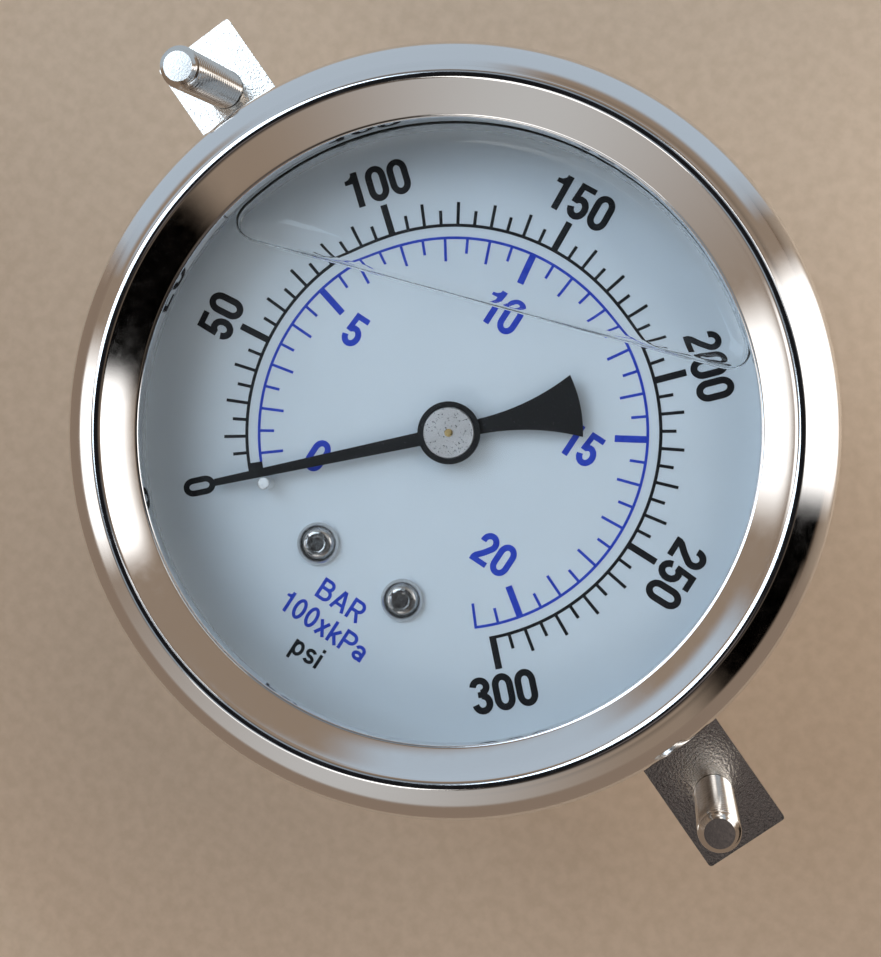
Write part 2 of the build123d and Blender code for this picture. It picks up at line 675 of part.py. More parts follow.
# ---------------------------------------------------------------- movement plates, pillars and screws
PLATE_MARGIN = 3.0
PILLAR_SCREW_R = 1.0
MOVEMENT_SCREW_SPOTS = [(6.0, -4.5), (-6.0, -4.5)]
MOVEMENT_SCREW_R = 1.25
PILLAR_HOLE_DEPTH = 2.4
MOVEMENT_HOLE_DEPTH = 4.4
CASE_SCREW_HOLE_DEPTH = 5.5


def plate_outline(spots):
    """Taut outline round discs at the given spots."""
    with Locations(*spots):
        Circle(PLATE_MARGIN)
    make_hull()


with BuildPart() as movement_front_plate:
    with BuildSketch(level(FRONT_PLATE_BACK)):
        plate_outline(PILLAR_SPOTS + DIAL_SCREW_SPOTS)
        Circle(ARBOR_R + RUNNING_GAP, mode=Mode.SUBTRACT)
        with Locations(SECTOR_SPOT):
            Circle(PIVOT_R + RUNNING_GAP, mode=Mode.SUBTRACT)
        with Locations(*(PILLAR_SPOTS + DIAL_SCREW_SPOTS)):
            Circle(PILLAR_SCREW_R + THREAD_GAP, mode=Mode.SUBTRACT)
    extrude(amount=FRONT_PLATE_FRONT - FRONT_PLATE_BACK)
movement_front_plate.part.label = "movement_front_plate"
export_step(movement_front_plate.part, "parts/movement_front_plate.step")

with BuildPart() as movement_back_plate:
    with BuildSketch(level(BACK_PLATE_BACK)):
        plate_outline(PILLAR_SPOTS + [SECTOR_SPOT])
        with Locations((0, 0), SECTOR_SPOT):
            Circle(PIVOT_R + RUNNING_GAP, mode=Mode.SUBTRACT)
        with Locations(*PILLAR_SPOTS):
            Circle(PILLAR_SCREW_R + THREAD_GAP, mode=Mode.SUBTRACT)
        with Locations(*MOVEMENT_SCREW_SPOTS):
            Circle(MOVEMENT_SCREW_R + CLEARANCE, mode=Mode.SUBTRACT)
    extrude(amount=BACK_PLATE_FRONT - BACK_PLATE_BACK)
movement_back_plate.part.label = "movement_back_plate"
export_step(movement_back_plate.part, "parts/movement_back_plate.step")

with BuildPart() as movement_pillars:
    with BuildSketch(level(BACK_PLATE_FRONT)):
        with Locations(*PILLAR_SPOTS):
            Circle(PILLAR_R)
    extrude(amount=FRONT_PLATE_BACK - BACK_PLATE_FRONT)
    with BuildSketch(level(BACK_PLATE_FRONT)):
        with Locations(*PILLAR_SPOTS):
            Circle(PILLAR_SCREW_R)
    extrude(amount=BACK_PLATE_BACK - BACK_PLATE_FRONT)
    with BuildSketch(level(FRONT_PLATE_BACK)):
        with Locations(*PILLAR_SPOTS):
            Circle(PILLAR_SCREW_R + THREAD_GAP)
    extrude(amount=-PILLAR_HOLE_DEPTH, mode=Mode.SUBTRACT)
movement_pillars.part.label = "movement_pillars"
export_step(movement_pillars.part, "parts/movement_pillars.step")

pillar_screw = pan_screw(head_r=1.9, head_height=1.0, shank_r=PILLAR_SCREW_R, length=3.4)
with BuildPart() as pillar_screws:
    with Locations(*[(x, y, PANEL_Z + FRONT_PLATE_FRONT) for x, y in PILLAR_SPOTS]):
        add(pillar_screw)
pillar_screws.part.label = "pillar_screws"
export_step(pillar_screws.part, "parts/pillar_screws.step")

movement_screw = pan_screw(head_r=2.2, head_height=1.1, shank_r=MOVEMENT_SCREW_R, length=5.0)
with BuildPart() as movement_screws:
    with Locations(*[(x, y, PANEL_Z + BACK_PLATE_FRONT) for x, y in MOVEMENT_SCREW_SPOTS]):
        add(movement_screw)
movement_screws.part.label = "movement_screws"
export_step(movement_screws.part, "parts/movement_screws.step")

# ---------------------------------------------------------------- Bourdon tube, its tip and the link
TUBE_SWEEP = TUBE_ROOT_ANGLE - TUBE_TIP_ANGLE
SLOT_GAP = 0.28
TIP_BLOCK_FRONT = LINK_BACK - SHOULDER_GAP
TIP_BLOCK_BACK = -23.8
TIP_BLOCK_THICK = 4.0
TIP_BLOCK_SWEEP = 10.0
TIP_BLOCK_PAST = 3.5
TIP_POCKET_SWEEP = 8.0
TIP_PIN_SOCKET = 0.6
TIP_SCREW_HEAD_R = 1.3
TIP_SCREW_HEAD_THICK = 0.7
TIP_SCREW_HEAD_BACK = LINK_FRONT + SHOULDER_GAP

tube_outside = tube_section(TUBE_TIP_ANGLE, TUBE_HALF_THICK, TUBE_HALF_WIDTH)
tube_inside = tube_section(
    TUBE_TIP_ANGLE, TUBE_HALF_THICK - TUBE_WALL, TUBE_HALF_WIDTH - TUBE_WALL
)
with BuildPart() as bourdon_tube:
    revolve(tube_outside, axis=Axis.Z, revolution_arc=TUBE_SWEEP)
    revolve(tube_inside, axis=Axis.Z, revolution_arc=TUBE_SWEEP, mode=Mode.SUBTRACT)
bourdon_tube.part.label = "bourdon_tube"
export_step(bourdon_tube.part, "parts/bourdon_tube.step")

tip_pocket = tube_section(
    TUBE_TIP_ANGLE, TUBE_HALF_THICK + THREAD_GAP, TUBE_HALF_WIDTH + THREAD_GAP
)
with BuildPart() as tube_tip:
    with BuildSketch(radial_plane(TUBE_TIP_ANGLE - TIP_BLOCK_PAST)):
        with Locations((TUBE_R, (TIP_BLOCK_FRONT + TIP_BLOCK_BACK) / 2)):
            Rectangle(TIP_BLOCK_THICK, TIP_BLOCK_FRONT - TIP_BLOCK_BACK)
    revolve(axis=Axis.Z, revolution_arc=TIP_BLOCK_SWEEP)
    revolve(tip_pocket, axis=Axis.Z, revolution_arc=TIP_POCKET_SWEEP, mode=Mode.SUBTRACT)
    with BuildSketch(level(TIP_BLOCK_FRONT)):
        with Locations(TIP_SPOT):
            Circle(LINK_PIN_R)
    extrude(amount=-TIP_PIN_SOCKET, mode=Mode.SUBTRACT)
tube_tip.part.label = "tube_tip"
export_step(tube_tip.part, "parts/tube_tip.step")

with BuildPart() as tip_screw:
    with BuildSketch(level(TIP_BLOCK_FRONT - TIP_PIN_SOCKET)):
        with Locations(TIP_SPOT):
            Circle(LINK_PIN_R - THREAD_GAP)
    extrude(amount=TIP_SCREW_HEAD_BACK - TIP_BLOCK_FRONT + TIP_PIN_SOCKET)
    with BuildSketch(level(TIP_SCREW_HEAD_BACK)):
        with Locations(TIP_SPOT):
            Circle(TIP_SCREW_HEAD_R)
    extrude(amount=TIP_SCREW_HEAD_THICK)
    with BuildSketch(level(TIP_SCREW_HEAD_BACK + TIP_SCREW_HEAD_THICK)):
        with Locations(TIP_SPOT):
            Rectangle(2.2 * TIP_SCREW_HEAD_R, LINK_PIN_SLOT)
    extrude(amount=-LINK_PIN_SLOT, mode=Mode.SUBTRACT)
tip_screw.part.label = "tip_screw"
export_step(tip_screw.part, "parts/tip_screw.step")

# the link's hole on the tail screw is wide, because this is the pivot where the loop is open
LINK_OPEN_GAP = 0.17
LINK_EYE_R = 1.45
with BuildPart() as link:
    with BuildSketch(level(LINK_BACK)):
        with Locations(TIP_SPOT, TAIL_SPOT):
            Circle(LINK_EYE_R)
        make_hull()
        with Locations(TIP_SPOT):
            Circle(LINK_PIN_R + RUNNING_GAP, mode=Mode.SUBTRACT)
        with Locations(TAIL_SPOT):
            Circle(LINK_PIN_R + LINK_OPEN_GAP, mode=Mode.SUBTRACT)
    extrude(amount=LINK_FRONT - LINK_BACK)
link.part.label = "link"
export_step(link.part, "parts/link.step")

# ---------------------------------------------------------------- socket with the pressure connection
SOCKET_BACK = CASE_BACK + CASE_WALL
STEM_END = -PANEL_Z
ARM_HALF = 4.0
ARM_OUTER = 24.4
ARM_BACK = -24.6
ARM_HEAD_FRONT = -13.5
ARM_HEAD_INNER = 17.4
SLOT_BLIND = 2.2
SEAL_R = 8.3
SEAL_HALF = 0.6
CROSS_CHANNEL_R = 0.6
CHANNEL_PAST_TUBE = 2.0

SLOT_START = 60.0
root_slot = tube_section(
    SLOT_START, TUBE_HALF_THICK + SLOT_GAP, TUBE_HALF_WIDTH + SLOT_GAP
)
SLOT_SWEEP = TUBE_ROOT_ANGLE + SLOT_BLIND - SLOT_START

with BuildPart() as socket:
    with BuildSketch(level(SOCKET_BACK)):
        Circle(SOCKET_R)
    extrude(amount=BACK_PLATE_BACK - SOCKET_BACK)
    with BuildSketch(level(ARM_BACK)):
        with Locations((0, ARM_OUTER / 2)):
            Rectangle(2 * ARM_HALF, ARM_OUTER)
    extrude(amount=BACK_PLATE_BACK - ARM_BACK)
    with BuildSketch(level(ARM_BACK)):
        with Locations((0, (ARM_OUTER + ARM_HEAD_INNER) / 2)):
            Rectangle(2 * ARM_HALF, ARM_OUTER - ARM_HEAD_INNER)
    extrude(amount=ARM_HEAD_FRONT - ARM_BACK)
    with BuildSketch(level(SOCKET_BACK)):
        Circle(NECK_R)
    extrude(amount=HEX_FRONT - SOCKET_BACK)
    with BuildSketch(level(HEX_BACK)):
        RegularPolygon(HEX_FLATS / 2, 6, major_radius=False, rotation=SIDE_ANGLE)
    extrude(amount=HEX_FRONT - HEX_BACK)
    with BuildSketch(level(HEX_BACK)):
        Circle(THREAD_R - UNDERCUT)
    extrude(amount=STEM_END - HEX_BACK)
    with BuildSketch(level(STEM_END)):
        Circle(THREAD_R)
    extrude(amount=THREAD_LENGTH)
    chamfer(socket.faces().sort_by(Axis.Z)[0].edges(), STEM_CHAMFER)
    # slot for the root of the tube, closed at its far end
    revolve(root_slot, axis=Axis.Z, revolution_arc=SLOT_SWEEP, mode=Mode.SUBTRACT)
    # pressure port, channel up the axis, and channel to the blind end of the slot
    with BuildSketch(level(STEM_END)):
        Circle(PORT_R)
    extrude(amount=PORT_DEPTH, mode=Mode.SUBTRACT)
    with BuildSketch(level(STEM_END)):
        Circle(CHANNEL_R)
    extrude(amount=TUBE_MID + CHANNEL_PAST_TUBE - STEM_END, mode=Mode.SUBTRACT)
    cross_angle = TUBE_ROOT_ANGLE + SLOT_BLIND / 2
    cross_plane = Plane(
        origin=(0, 0, PANEL_Z + TUBE_MID),
        x_dir=(0, 0, 1),
        z_dir=(cos(radians(cross_angle)), sin(radians(cross_angle)), 0),
    )
    with BuildSketch(cross_plane):
        Circle(CROSS_CHANNEL_R)
    extrude(amount=TUBE_R, mode=Mode.SUBTRACT)
    # threaded holes for the movement screws and, from behind, the case screws
    with BuildSketch(level(BACK_PLATE_BACK)):
        with Locations(*MOVEMENT_SCREW_SPOTS):
            Circle(MOVEMENT_SCREW_R + THREAD_GAP)
    extrude(amount=-MOVEMENT_HOLE_DEPTH, mode=Mode.SUBTRACT)
    with BuildSketch(level(SOCKET_BACK)):
        with Locations(polar(CASE_SCREW_AT, SIDE_ANGLE), polar(-CASE_SCREW_AT, SIDE_ANGLE)):
            Circle(CASE_SCREW_R + THREAD_GAP)
    extrude(amount=CASE_SCREW_HOLE_DEPTH, mode=Mode.SUBTRACT)
    # groove of the case seal
    with BuildSketch(level(SOCKET_BACK)):
        Circle(SEAL_R + SEAL_HALF + CLEARANCE)
        Circle(SEAL_R - SEAL_HALF - CLEARANCE, mode=Mode.SUBTRACT)
    extrude(amount=2 * SEAL_HALF, mode=Mode.SUBTRACT)
socket.part.label = "socket"
export_step(socket.part, "parts/socket.step")

with BuildPart() as socket_seal:
    with BuildSketch(radial_plane(0)):
        with Locations((SEAL_R, SOCKET_BACK + SEAL_HALF)):
            Circle(SEAL_HALF)
    revolve(axis=Axis.Z)
socket_seal.part.label = "socket_seal"
export_step(socket_seal.part, "parts/socket_seal.step")

RESTRICTOR_BACK = STEM_END + PORT_DEPTH
RESTRICTOR_LENGTH = 5.0
RESTRICTOR_BORE_R = 0.35
RESTRICTOR_SLOT = (3.2, 0.5)
RESTRICTOR_SLOT_DEPTH = 0.6
with BuildPart() as restrictor:
    with BuildSketch(level(RESTRICTOR_BACK)):
        Circle(CHANNEL_R - THREAD_GAP)
        Circle(RESTRICTOR_BORE_R, mode=Mode.SUBTRACT)
    extrude(amount=RESTRICTOR_LENGTH)
    with BuildSketch(level(RESTRICTOR_BACK)):
        Rectangle(*RESTRICTOR_SLOT)
    extrude(amount=RESTRICTOR_SLOT_DEPTH, mode=Mode.SUBTRACT)
restrictor.part.label = "restrictor"
export_step(restrictor.part, "parts/restrictor.step")

# ---------------------------------------------------------------- screws and plug on the back of the case
case_screw = pan_screw(head_r=2.7, head_height=1.9, shank_r=CASE_SCREW_R, length=6.0)
with BuildPart() as case_screws:
    for side in (CASE_SCREW_AT, -CASE_SCREW_AT):
        x, y = polar(side, SIDE_ANGLE)
        with Locations(Location((x, y, PANEL_Z + CASE_BACK), (180, 0, 0))):
            add(case_screw)
case_screws.part.label = "case_screws"
export_step(case_screws.part, "parts/case_screws.step")

PLUG_HEAD_R = 4.2
PLUG_HEAD_EDGE = -0.9
PLUG_DOME = (3.2, -1.9)
PLUG_FLAT_R = 1.5
PLUG_TOP = -2.3
PLUG_BEAD_R = PLUG_HOLE_R + 0.5
PLUG_BEAD_TOP = CASE_WALL + 0.5
PLUG_END_R = PLUG_HOLE_R - 0.4
PLUG_END = CASE_WALL + 1.2
plug_x, plug_y = polar(PLUG_AT, SIDE_ANGLE)
PLUG_PLANE = Plane(origin=(plug_x, plug_y, PANEL_Z + CASE_BACK), x_dir=(1, 0, 0), z_dir=(0, -1, 0))
with BuildPart() as fill_plug:
    with BuildSketch(PLUG_PLANE):
        with BuildLine():
            Polyline(
                (0, PLUG_END),
                (PLUG_END_R, PLUG_END),
                (PLUG_BEAD_R, PLUG_BEAD_TOP),
                (PLUG_BEAD_R, CASE_WALL),
                (PLUG_HOLE_R - THREAD_GAP, CASE_WALL),
                (PLUG_HOLE_R - THREAD_GAP, 0),
                (PLUG_HEAD_R, 0),
                (PLUG_HEAD_R, PLUG_HEAD_EDGE),
            )
            ThreePointArc((PLUG_HEAD_R, PLUG_HEAD_EDGE), PLUG_DOME, (PLUG_FLAT_R, PLUG_TOP))
            Polyline((PLUG_FLAT_R, PLUG_TOP), (0, PLUG_TOP), (0, PLUG_END))
        make_face()
    revolve(axis=Axis((plug_x, plug_y, 0), (0, 0, 1)))
fill_plug.part.label = "fill_plug"
export_step(fill_plug.part, "parts/fill_plug.step")

# ---------------------------------------------------------------- clamp bracket
LEG_MID = LEG_INNER + STRIP_THICK / 2
STRIP_MID = CASE_BACK - STRIP_THICK / 2
BEND_R = 1.6
RING_OVERLAP = 1.5
FOOT_CORNER_R = 0.35
STUD_HOLE_GAP = 0.2
CLAMP_PLANE_A = leaning_plane(polar(CLAMP_SCREW_AT, BRACKET_ANGLE), CLAMP_LEAN_A)
CLAMP_PLANE_B = leaning_plane(polar(-CLAMP_SCREW_AT, BRACKET_ANGLE), CLAMP_LEAN_B)
with BuildPart() as bracket_arm:
    with BuildSketch(radial_plane(BRACKET_ANGLE)):
        with BuildLine():
            FilletPolyline(
                (BRACKET_RING_OUTER - RING_OVERLAP, STRIP_MID),
                (LEG_MID, STRIP_MID),
                (LEG_MID, FOOT_FRONT - STRIP_THICK / 2),
                (FOOT_END, FOOT_FRONT - STRIP_THICK / 2),
                radius=BEND_R,
            )
        trace(line_width=STRIP_THICK)
    extrude(amount=STRIP_WIDTH / 2, both=True)
    fillet(
        bracket_arm.edges().filter_by(Axis.Z).sort_by_distance((0, 0, PANEL_Z + FOOT_FRONT))[-2:],
        FOOT_CORNER_R,
    )
    with BuildSketch(level(CASE_BACK)):
        with Locations(polar(STUD_AT, BRACKET_ANGLE)):
            Circle(STUD_R + STUD_HOLE_GAP)
    extrude(amount=-STRIP_THICK, mode=Mode.SUBTRACT)

with BuildPart() as clamp_bracket:
    with BuildSketch(level(CASE_BACK)):
        Circle(BRACKET_RING_OUTER)
        Circle(BRACKET_RING_INNER, mode=Mode.SUBTRACT)
    extrude(amount=-STRIP_THICK)
    with PolarLocations(0, 2):
        add(bracket_arm.part)
    # threaded holes along the screws' own axes
    for plane in (CLAMP_PLANE_A, CLAMP_PLANE_B):
        with BuildSketch(plane):
            Circle(CLAMP_SCREW_R + RUNNING_GAP)
        extrude(amount=2 * STRIP_THICK, both=True, mode=Mode.SUBTRACT)
clamp_bracket.part.label = "clamp_bracket"
export_step(clamp_bracket.part, "parts/clamp_bracket.step")

STUD_SPOTS = [polar(STUD_AT, BRACKET_ANGLE), polar(-STUD_AT, BRACKET_ANGLE)]
with BuildPart() as bracket_studs:
    with BuildSketch(level(CASE_BACK)):
        with Locations(*STUD_SPOTS):
            Circle(STUD_R)
    extrude(amount=-STUD_LENGTH)
    chamfer(bracket_studs.faces().group_by(Axis.Z)[0].edges(), END_CHAMFER)
bracket_studs.part.label = "bracket_studs"
export_step(bracket_studs.part, "parts/bracket_studs.step")

WASHER_FRONT = CASE_BACK - STRIP_THICK
WASHER_R = 3.5
WASHER_BORE_GAP = 0.15
WASHER_SPLIT = (2.4, 0.35)
WASHER_SPLIT_AT = 3.0
with BuildPart() as bracket_washers:
    with BuildSketch(level(WASHER_FRONT)):
        with Locations(*STUD_SPOTS):
            Circle(WASHER_R)
            Circle(STUD_R + WASHER_BORE_GAP, mode=Mode.SUBTRACT)
        # the gap of a split spring washer
        with Locations(*[(x + WASHER_SPLIT_AT, y) for x, y in STUD_SPOTS]):
            Rectangle(*WASHER_SPLIT, mode=Mode.SUBTRACT)
    extrude(amount=-WASHER_THICK)
bracket_washers.part.label = "bracket_washers"
export_step(bracket_washers.part, "parts/bracket_washers.step")

with BuildPart() as bracket_nuts:
    with BuildSketch(level(WASHER_FRONT - WASHER_THICK)):
        with Locations(*STUD_SPOTS):
            RegularPolygon(NUT_FLATS / 2, 6, major_radius=False)
            Circle(STUD_R + THREAD_GAP, mode=Mode.SUBTRACT)
    extrude(amount=-NUT_THICK)
bracket_nuts.part.label = "bracket_nuts"
export_step(bracket_nuts.part, "parts/bracket_nuts.step")


# ---------------------------------------------------------------- clamp screws
def clamp_screw(plane):
    """Slotted set screw along a foot's threaded hole, with a flat chamfered tip towards the panel."""
    tip = plane.offset(CLAMP_SCREW_TIP - FOOT_FRONT)
    rear = tip.offset(-CLAMP_SCREW_LENGTH)
    with BuildPart() as screw:
        with BuildSketch(rear):
            Circle(CLAMP_SCREW_R)
        extrude(amount=CLAMP_SCREW_LENGTH)
        chamfer(screw.faces().sort_by(Axis.Z)[-1].edges(), CLAMP_TIP_CHAMFER)
        chamfer(screw.faces().sort_by(Axis.Z)[0].edges(), END_CHAMFER)
        with BuildSketch(rear):
            Rectangle(2 * CLAMP_SCREW_R, CLAMP_SLOT_WIDTH)
        extrude(amount=CLAMP_SLOT_DEPTH, mode=Mode.SUBTRACT)
    return screw.part


clamp_screw_a = clamp_screw(CLAMP_PLANE_A)
clamp_screw_a.label = "clamp_screw_a"
export_step(clamp_screw_a, "parts/clamp_screw_a.step")

clamp_screw_b = clamp_screw(CLAMP_PLANE_B)
clamp_screw_b.label = "clamp_screw_b"
export_step(clamp_screw_b, "parts/clamp_screw_b.step")

# ---------------------------------------------------------------- liquid filling
LIQUID_GAP = 0.3
LIQUID_SLEEVE_R = CASE_R - CASE_WALL - LIQUID_GAP
LIQUID_SLEEVE_BACK = CASE_BACK + CASE_WALL + CASE_CORNER_R
with BuildPart() as glycerin_fill:
    # the layer between the window and the pointer, short of the air bubble
    with BuildSketch(level(LIQUID_FRONT_BACK)):
        Circle(GASKET_BORE_R - CLEARANCE)
        with PolarLocations(0, 1, start_angle=BUBBLE_ANGLE):
            with Locations((BUBBLE_CHORD + WINDOW_R, 0)):
                Rectangle(2 * WINDOW_R, 2 * WINDOW_R, mode=Mode.SUBTRACT)
    extrude(amount=WINDOW_BACK - WINDOW_GAP - LIQUID_FRONT_BACK)
    # the sleeve of liquid round the movement, behind the dial
    with BuildSketch(level(LIQUID_SLEEVE_BACK)):
        Circle(LIQUID_SLEEVE_R)
        Circle(LIQUID_SLEEVE_BORE, mode=Mode.SUBTRACT)
    extrude(amount=DIAL_BACK - LIQUID_GAP - LIQUID_SLEEVE_BACK)
glycerin_fill.part.label = "glycerin_fill"
export_step(glycerin_fill.part, "parts/glycerin_fill.step")
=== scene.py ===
"""The looks of a panel-mounted, liquid-filled pressure gauge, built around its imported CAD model.

Everything is in metres in the CAD frame: the dial's axis is Z, 12 o'clock is +Y, and the free end
of the pressure connection stands on z = 0.  Sizes below are in millimetres unless a name says so.
"""

import json
import math

import bmesh
import bpy
from mathutils import Matrix, Vector
from mathutils.geometry import delaunay_2d_cdt


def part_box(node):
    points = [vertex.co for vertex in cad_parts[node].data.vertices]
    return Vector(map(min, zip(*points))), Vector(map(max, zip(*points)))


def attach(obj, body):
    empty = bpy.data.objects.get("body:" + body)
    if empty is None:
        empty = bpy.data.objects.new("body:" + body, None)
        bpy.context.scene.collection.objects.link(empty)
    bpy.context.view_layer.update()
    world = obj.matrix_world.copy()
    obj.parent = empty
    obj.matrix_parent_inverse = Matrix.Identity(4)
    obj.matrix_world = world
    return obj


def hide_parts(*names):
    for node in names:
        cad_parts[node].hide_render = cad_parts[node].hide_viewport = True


MM = 0.001
# millimetres within which two points are one, and within which a point lies on a level
CLOSE, LEVEL = 1e-5, 1e-3

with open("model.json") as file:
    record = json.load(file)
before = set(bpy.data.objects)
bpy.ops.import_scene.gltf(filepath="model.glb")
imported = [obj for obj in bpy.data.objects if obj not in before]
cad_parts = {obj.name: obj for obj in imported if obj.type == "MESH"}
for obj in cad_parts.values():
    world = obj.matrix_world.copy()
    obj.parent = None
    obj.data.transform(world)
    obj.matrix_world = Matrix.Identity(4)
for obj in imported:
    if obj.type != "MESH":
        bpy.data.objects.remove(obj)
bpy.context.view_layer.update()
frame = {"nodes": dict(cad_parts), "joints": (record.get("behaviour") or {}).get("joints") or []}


# ---------------------------------------------------------------- places read from the frame

def low(node):
    """Lowest corner of a CAD node, in millimetres."""
    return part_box(node)[0] / MM


def high(node):
    """Highest corner of a CAD node, in millimetres."""
    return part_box(node)[1] / MM


def middle(node):
    """Middle of a CAD node's box, in millimetres."""
    return (low(node) + high(node)) / 2


DIAL_FACE = high("dial").z
WINDOW_INNER = low("window").z
TAU = 2 * math.pi


# ---------------------------------------------------------------- mesh helpers

def polar(radius, degrees):
    """A point on the dial, clockwise from 12 o'clock, as a plain pair in millimetres."""
    angle = math.radians(degrees)
    return (radius * math.sin(angle), radius * math.cos(angle))


def add_object(name, mesh, material, body):
    """Links a mesh as a piece that rides on a CAD body."""
    mesh.materials.append(material)
    piece = bpy.data.objects.new(name, mesh)
    bpy.context.scene.collection.objects.link(piece)
    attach(piece, body)
    return piece


def mesh_from(bm, name, smooth=True):
    """Turns a bmesh into a mesh with outward normals, in metres."""
    bmesh.ops.recalc_face_normals(bm, faces=bm.faces)
    for face in bm.faces:
        face.smooth = smooth
    bmesh.ops.scale(bm, vec=(MM, MM, MM), verts=bm.verts)
    mesh = bpy.data.meshes.new(name)
    bm.to_mesh(mesh)
    bm.free()
    return mesh


def sharpen(bm, degrees=35):
    """Marks the edges that turn by more than this as sharp."""
    limit = math.radians(degrees)
    for edge in bm.edges:
        edge.smooth = edge.calc_face_angle(math.pi) < limit


# ---------------------------------------------------------------- flat print on the dial

PRINT_THICKNESS = 0.03
PRINT_SINK = 0.01


def facing_up(points):
    """The same polygon, counter-clockwise."""
    area = 0.0
    for (x0, y0), (x1, y1) in zip(points, points[1:] + points[:1]):
        area += x0 * y1 - x1 * y0
    return points if area > 0 else points[::-1]


def printed(name, shapes, material):
    """One flat layer of ink from overlapping polygons, merged into a single clean skin."""
    corners, faces = [], []
    for shape in shapes:
        shape = facing_up(list(shape))
        faces.append(list(range(len(corners), len(corners) + len(shape))))
        corners += [Vector(p) for p in shape]
    made = delaunay_2d_cdt(corners, [], faces, 1, CLOSE)
    points, triangles, sources = made[0], made[2], made[5]
    bm = bmesh.new()
    base = DIAL_FACE - PRINT_SINK
    verts = [bm.verts.new((p.x, p.y, base)) for p in points]
    for triangle, source in zip(triangles, sources):
        if source:
            bm.faces.new([verts[i] for i in triangle])
    loose = [v for v in bm.verts if not v.link_faces]
    bmesh.ops.delete(bm, geom=loose, context="VERTS")
    grown = bmesh.ops.extrude_face_region(bm, geom=bm.faces[:])
    lifted = [g for g in grown["geom"] if isinstance(g, bmesh.types.BMVert)]
    bmesh.ops.translate(bm, vec=(0, 0, PRINT_THICKNESS + PRINT_SINK), verts=lifted)
    return add_object(name, mesh_from(bm, name, smooth=False), material, "gauge")


def ring_band(inner, outer, start, end, step=1.5):
    """Quads that fill a band between two radii, from one clock angle to another."""
    count = max(2, round((end - start) / step))
    angles = [start + (end - start) * i / count for i in range(count + 1)]
    return [
        [polar(inner, a), polar(inner, b), polar(outer, b), polar(outer, a)]
        for a, b in zip(angles, angles[1:])
    ]


def tick(degrees, inner, outer, width):
    """A radial bar of even width."""
    angle = math.radians(degrees)
    out = Vector((math.sin(angle), math.cos(angle)))
    side = Vector((out.y, -out.x)) * (width / 2)
    return [tuple(out * inner - side), tuple(out * inner + side),
            tuple(out * outer + side), tuple(out * outer - side)]


# ---------------------------------------------------------------- lettering from strokes

def bow(cx, cy, rx, ry, start, end, steps=14):
    """Points on an ellipse, from one angle to another, counter-clockwise from +X."""
    turn = [math.radians(start + (end - start) * i / steps) for i in range(steps + 1)]
    return [(cx + rx * math.cos(t), cy + ry * math.sin(t)) for t in turn]


def stroke(path, width):
    """Quads along a path, mitred where it turns."""
    points = [Vector(p) for p in path]
    sides = []
    for i, point in enumerate(points):
        before = (point - points[i - 1]).normalized() if i else None
        after = (points[i + 1] - point).normalized() if i + 1 < len(points) else None
        along = ((before or after) + (after or before)).normalized()
        across = Vector((-along.y, along.x))
        lean = max(0.5, along.dot(after or before))
        sides.append(across * (width / 2 / lean))
    quads = []
    for (p, s), (q, t) in zip(zip(points, sides), zip(points[1:], sides[1:])):
        quads.append([tuple(p - s), tuple(q - t), tuple(q + t), tuple(p + s)])
    return quads


def bar(x0, y0, x1, y1):
    """An upright rectangle."""
    return [[(x0, y0), (x1, y0), (x1, y1), (x0, y1)]]


NUMERAL_WIDTH = 0.565
NUMERAL_STROKE = 0.182


def numeral(digit):
    """A condensed bold digit one unit high, as polygons."""
    w, t = NUMERAL_WIDTH, NUMERAL_STROKE
    mid, reach, edge = w / 2, (w - t) / 2, t / 2
    if digit == "0":
        ring = bow(mid, 0.68, reach, 0.32 - edge, 0, 180)
        ring += bow(mid, 0.32, reach, 0.32 - edge, 180, 360)
        return stroke(ring + ring[:2], t)
    if digit == "1":
        flag = [(0.05, 0.69), (0.27, 0.69), (0.27, 1.0), (0.235, 0.9), (0.16, 0.83), (0.05, 0.81)]
        return bar(0.25, 0, 0.25 + t, 1) + [flag]
    if digit == "2":
        over = bow(mid, 0.695, reach, 0.305 - edge, 190, -25)
        neck = stroke(over + [(0.3, 0.38), (0.13, 0.19), (0.1, 0.1)], t)
        return neck + bar(0.01, 0, w - 0.02, t * 0.9)
    if digit == "3":
        upper = stroke(bow(mid, 0.74, reach * 0.95, 0.26 - edge, 175, -85), t)
        lower = stroke(bow(mid, 0.295, reach, 0.295 - edge, 85, -175), t)
        return upper + lower + bar(0.2, 0.45, 0.33, 0.61)
    upright = stroke([(0.15, 0.95), (0.11, 0.42)], t * 0.88)
    bowl = stroke(bow(mid, 0.325, reach, 0.325 - edge, 140, -172), t)
    return bar(0.07, 1 - t * 0.92, w - 0.04, 1) + upright + bowl


LETTER_STROKE = 0.155


def capital(sign):
    """A medium-weight capital one unit high: its polygons and its width."""
    t = LETTER_STROKE
    stem = bar(0.03, 0, 0.03 + t, 1)
    if sign == "B":
        top = stroke([(0.1, 0.925)] + bow(0.4, 0.735, 0.2, 0.19, 90, -90) + [(0.1, 0.545)], t)
        base = stroke([(0.1, 0.545)] + bow(0.42, 0.31, 0.24, 0.235, 90, -90) + [(0.1, 0.075)], t)
        return stem + top + base, 0.78
    if sign == "A":
        legs = stroke([(0.08, 0), (0.37, 0.95)], t) + stroke([(0.68, 0), (0.39, 0.95)], t)
        return legs + bar(0.18, 0.22, 0.58, 0.36), 0.78
    bowl = stroke([(0.1, 0.925)] + bow(0.42, 0.7, 0.22, 0.225, 90, -90) + [(0.1, 0.475)], t)
    leg = stroke([(0.38, 0.5), (0.64, 0)], t) if sign == "R" else []
    return stem + bowl + leg, 0.76 if sign == "R" else 0.72


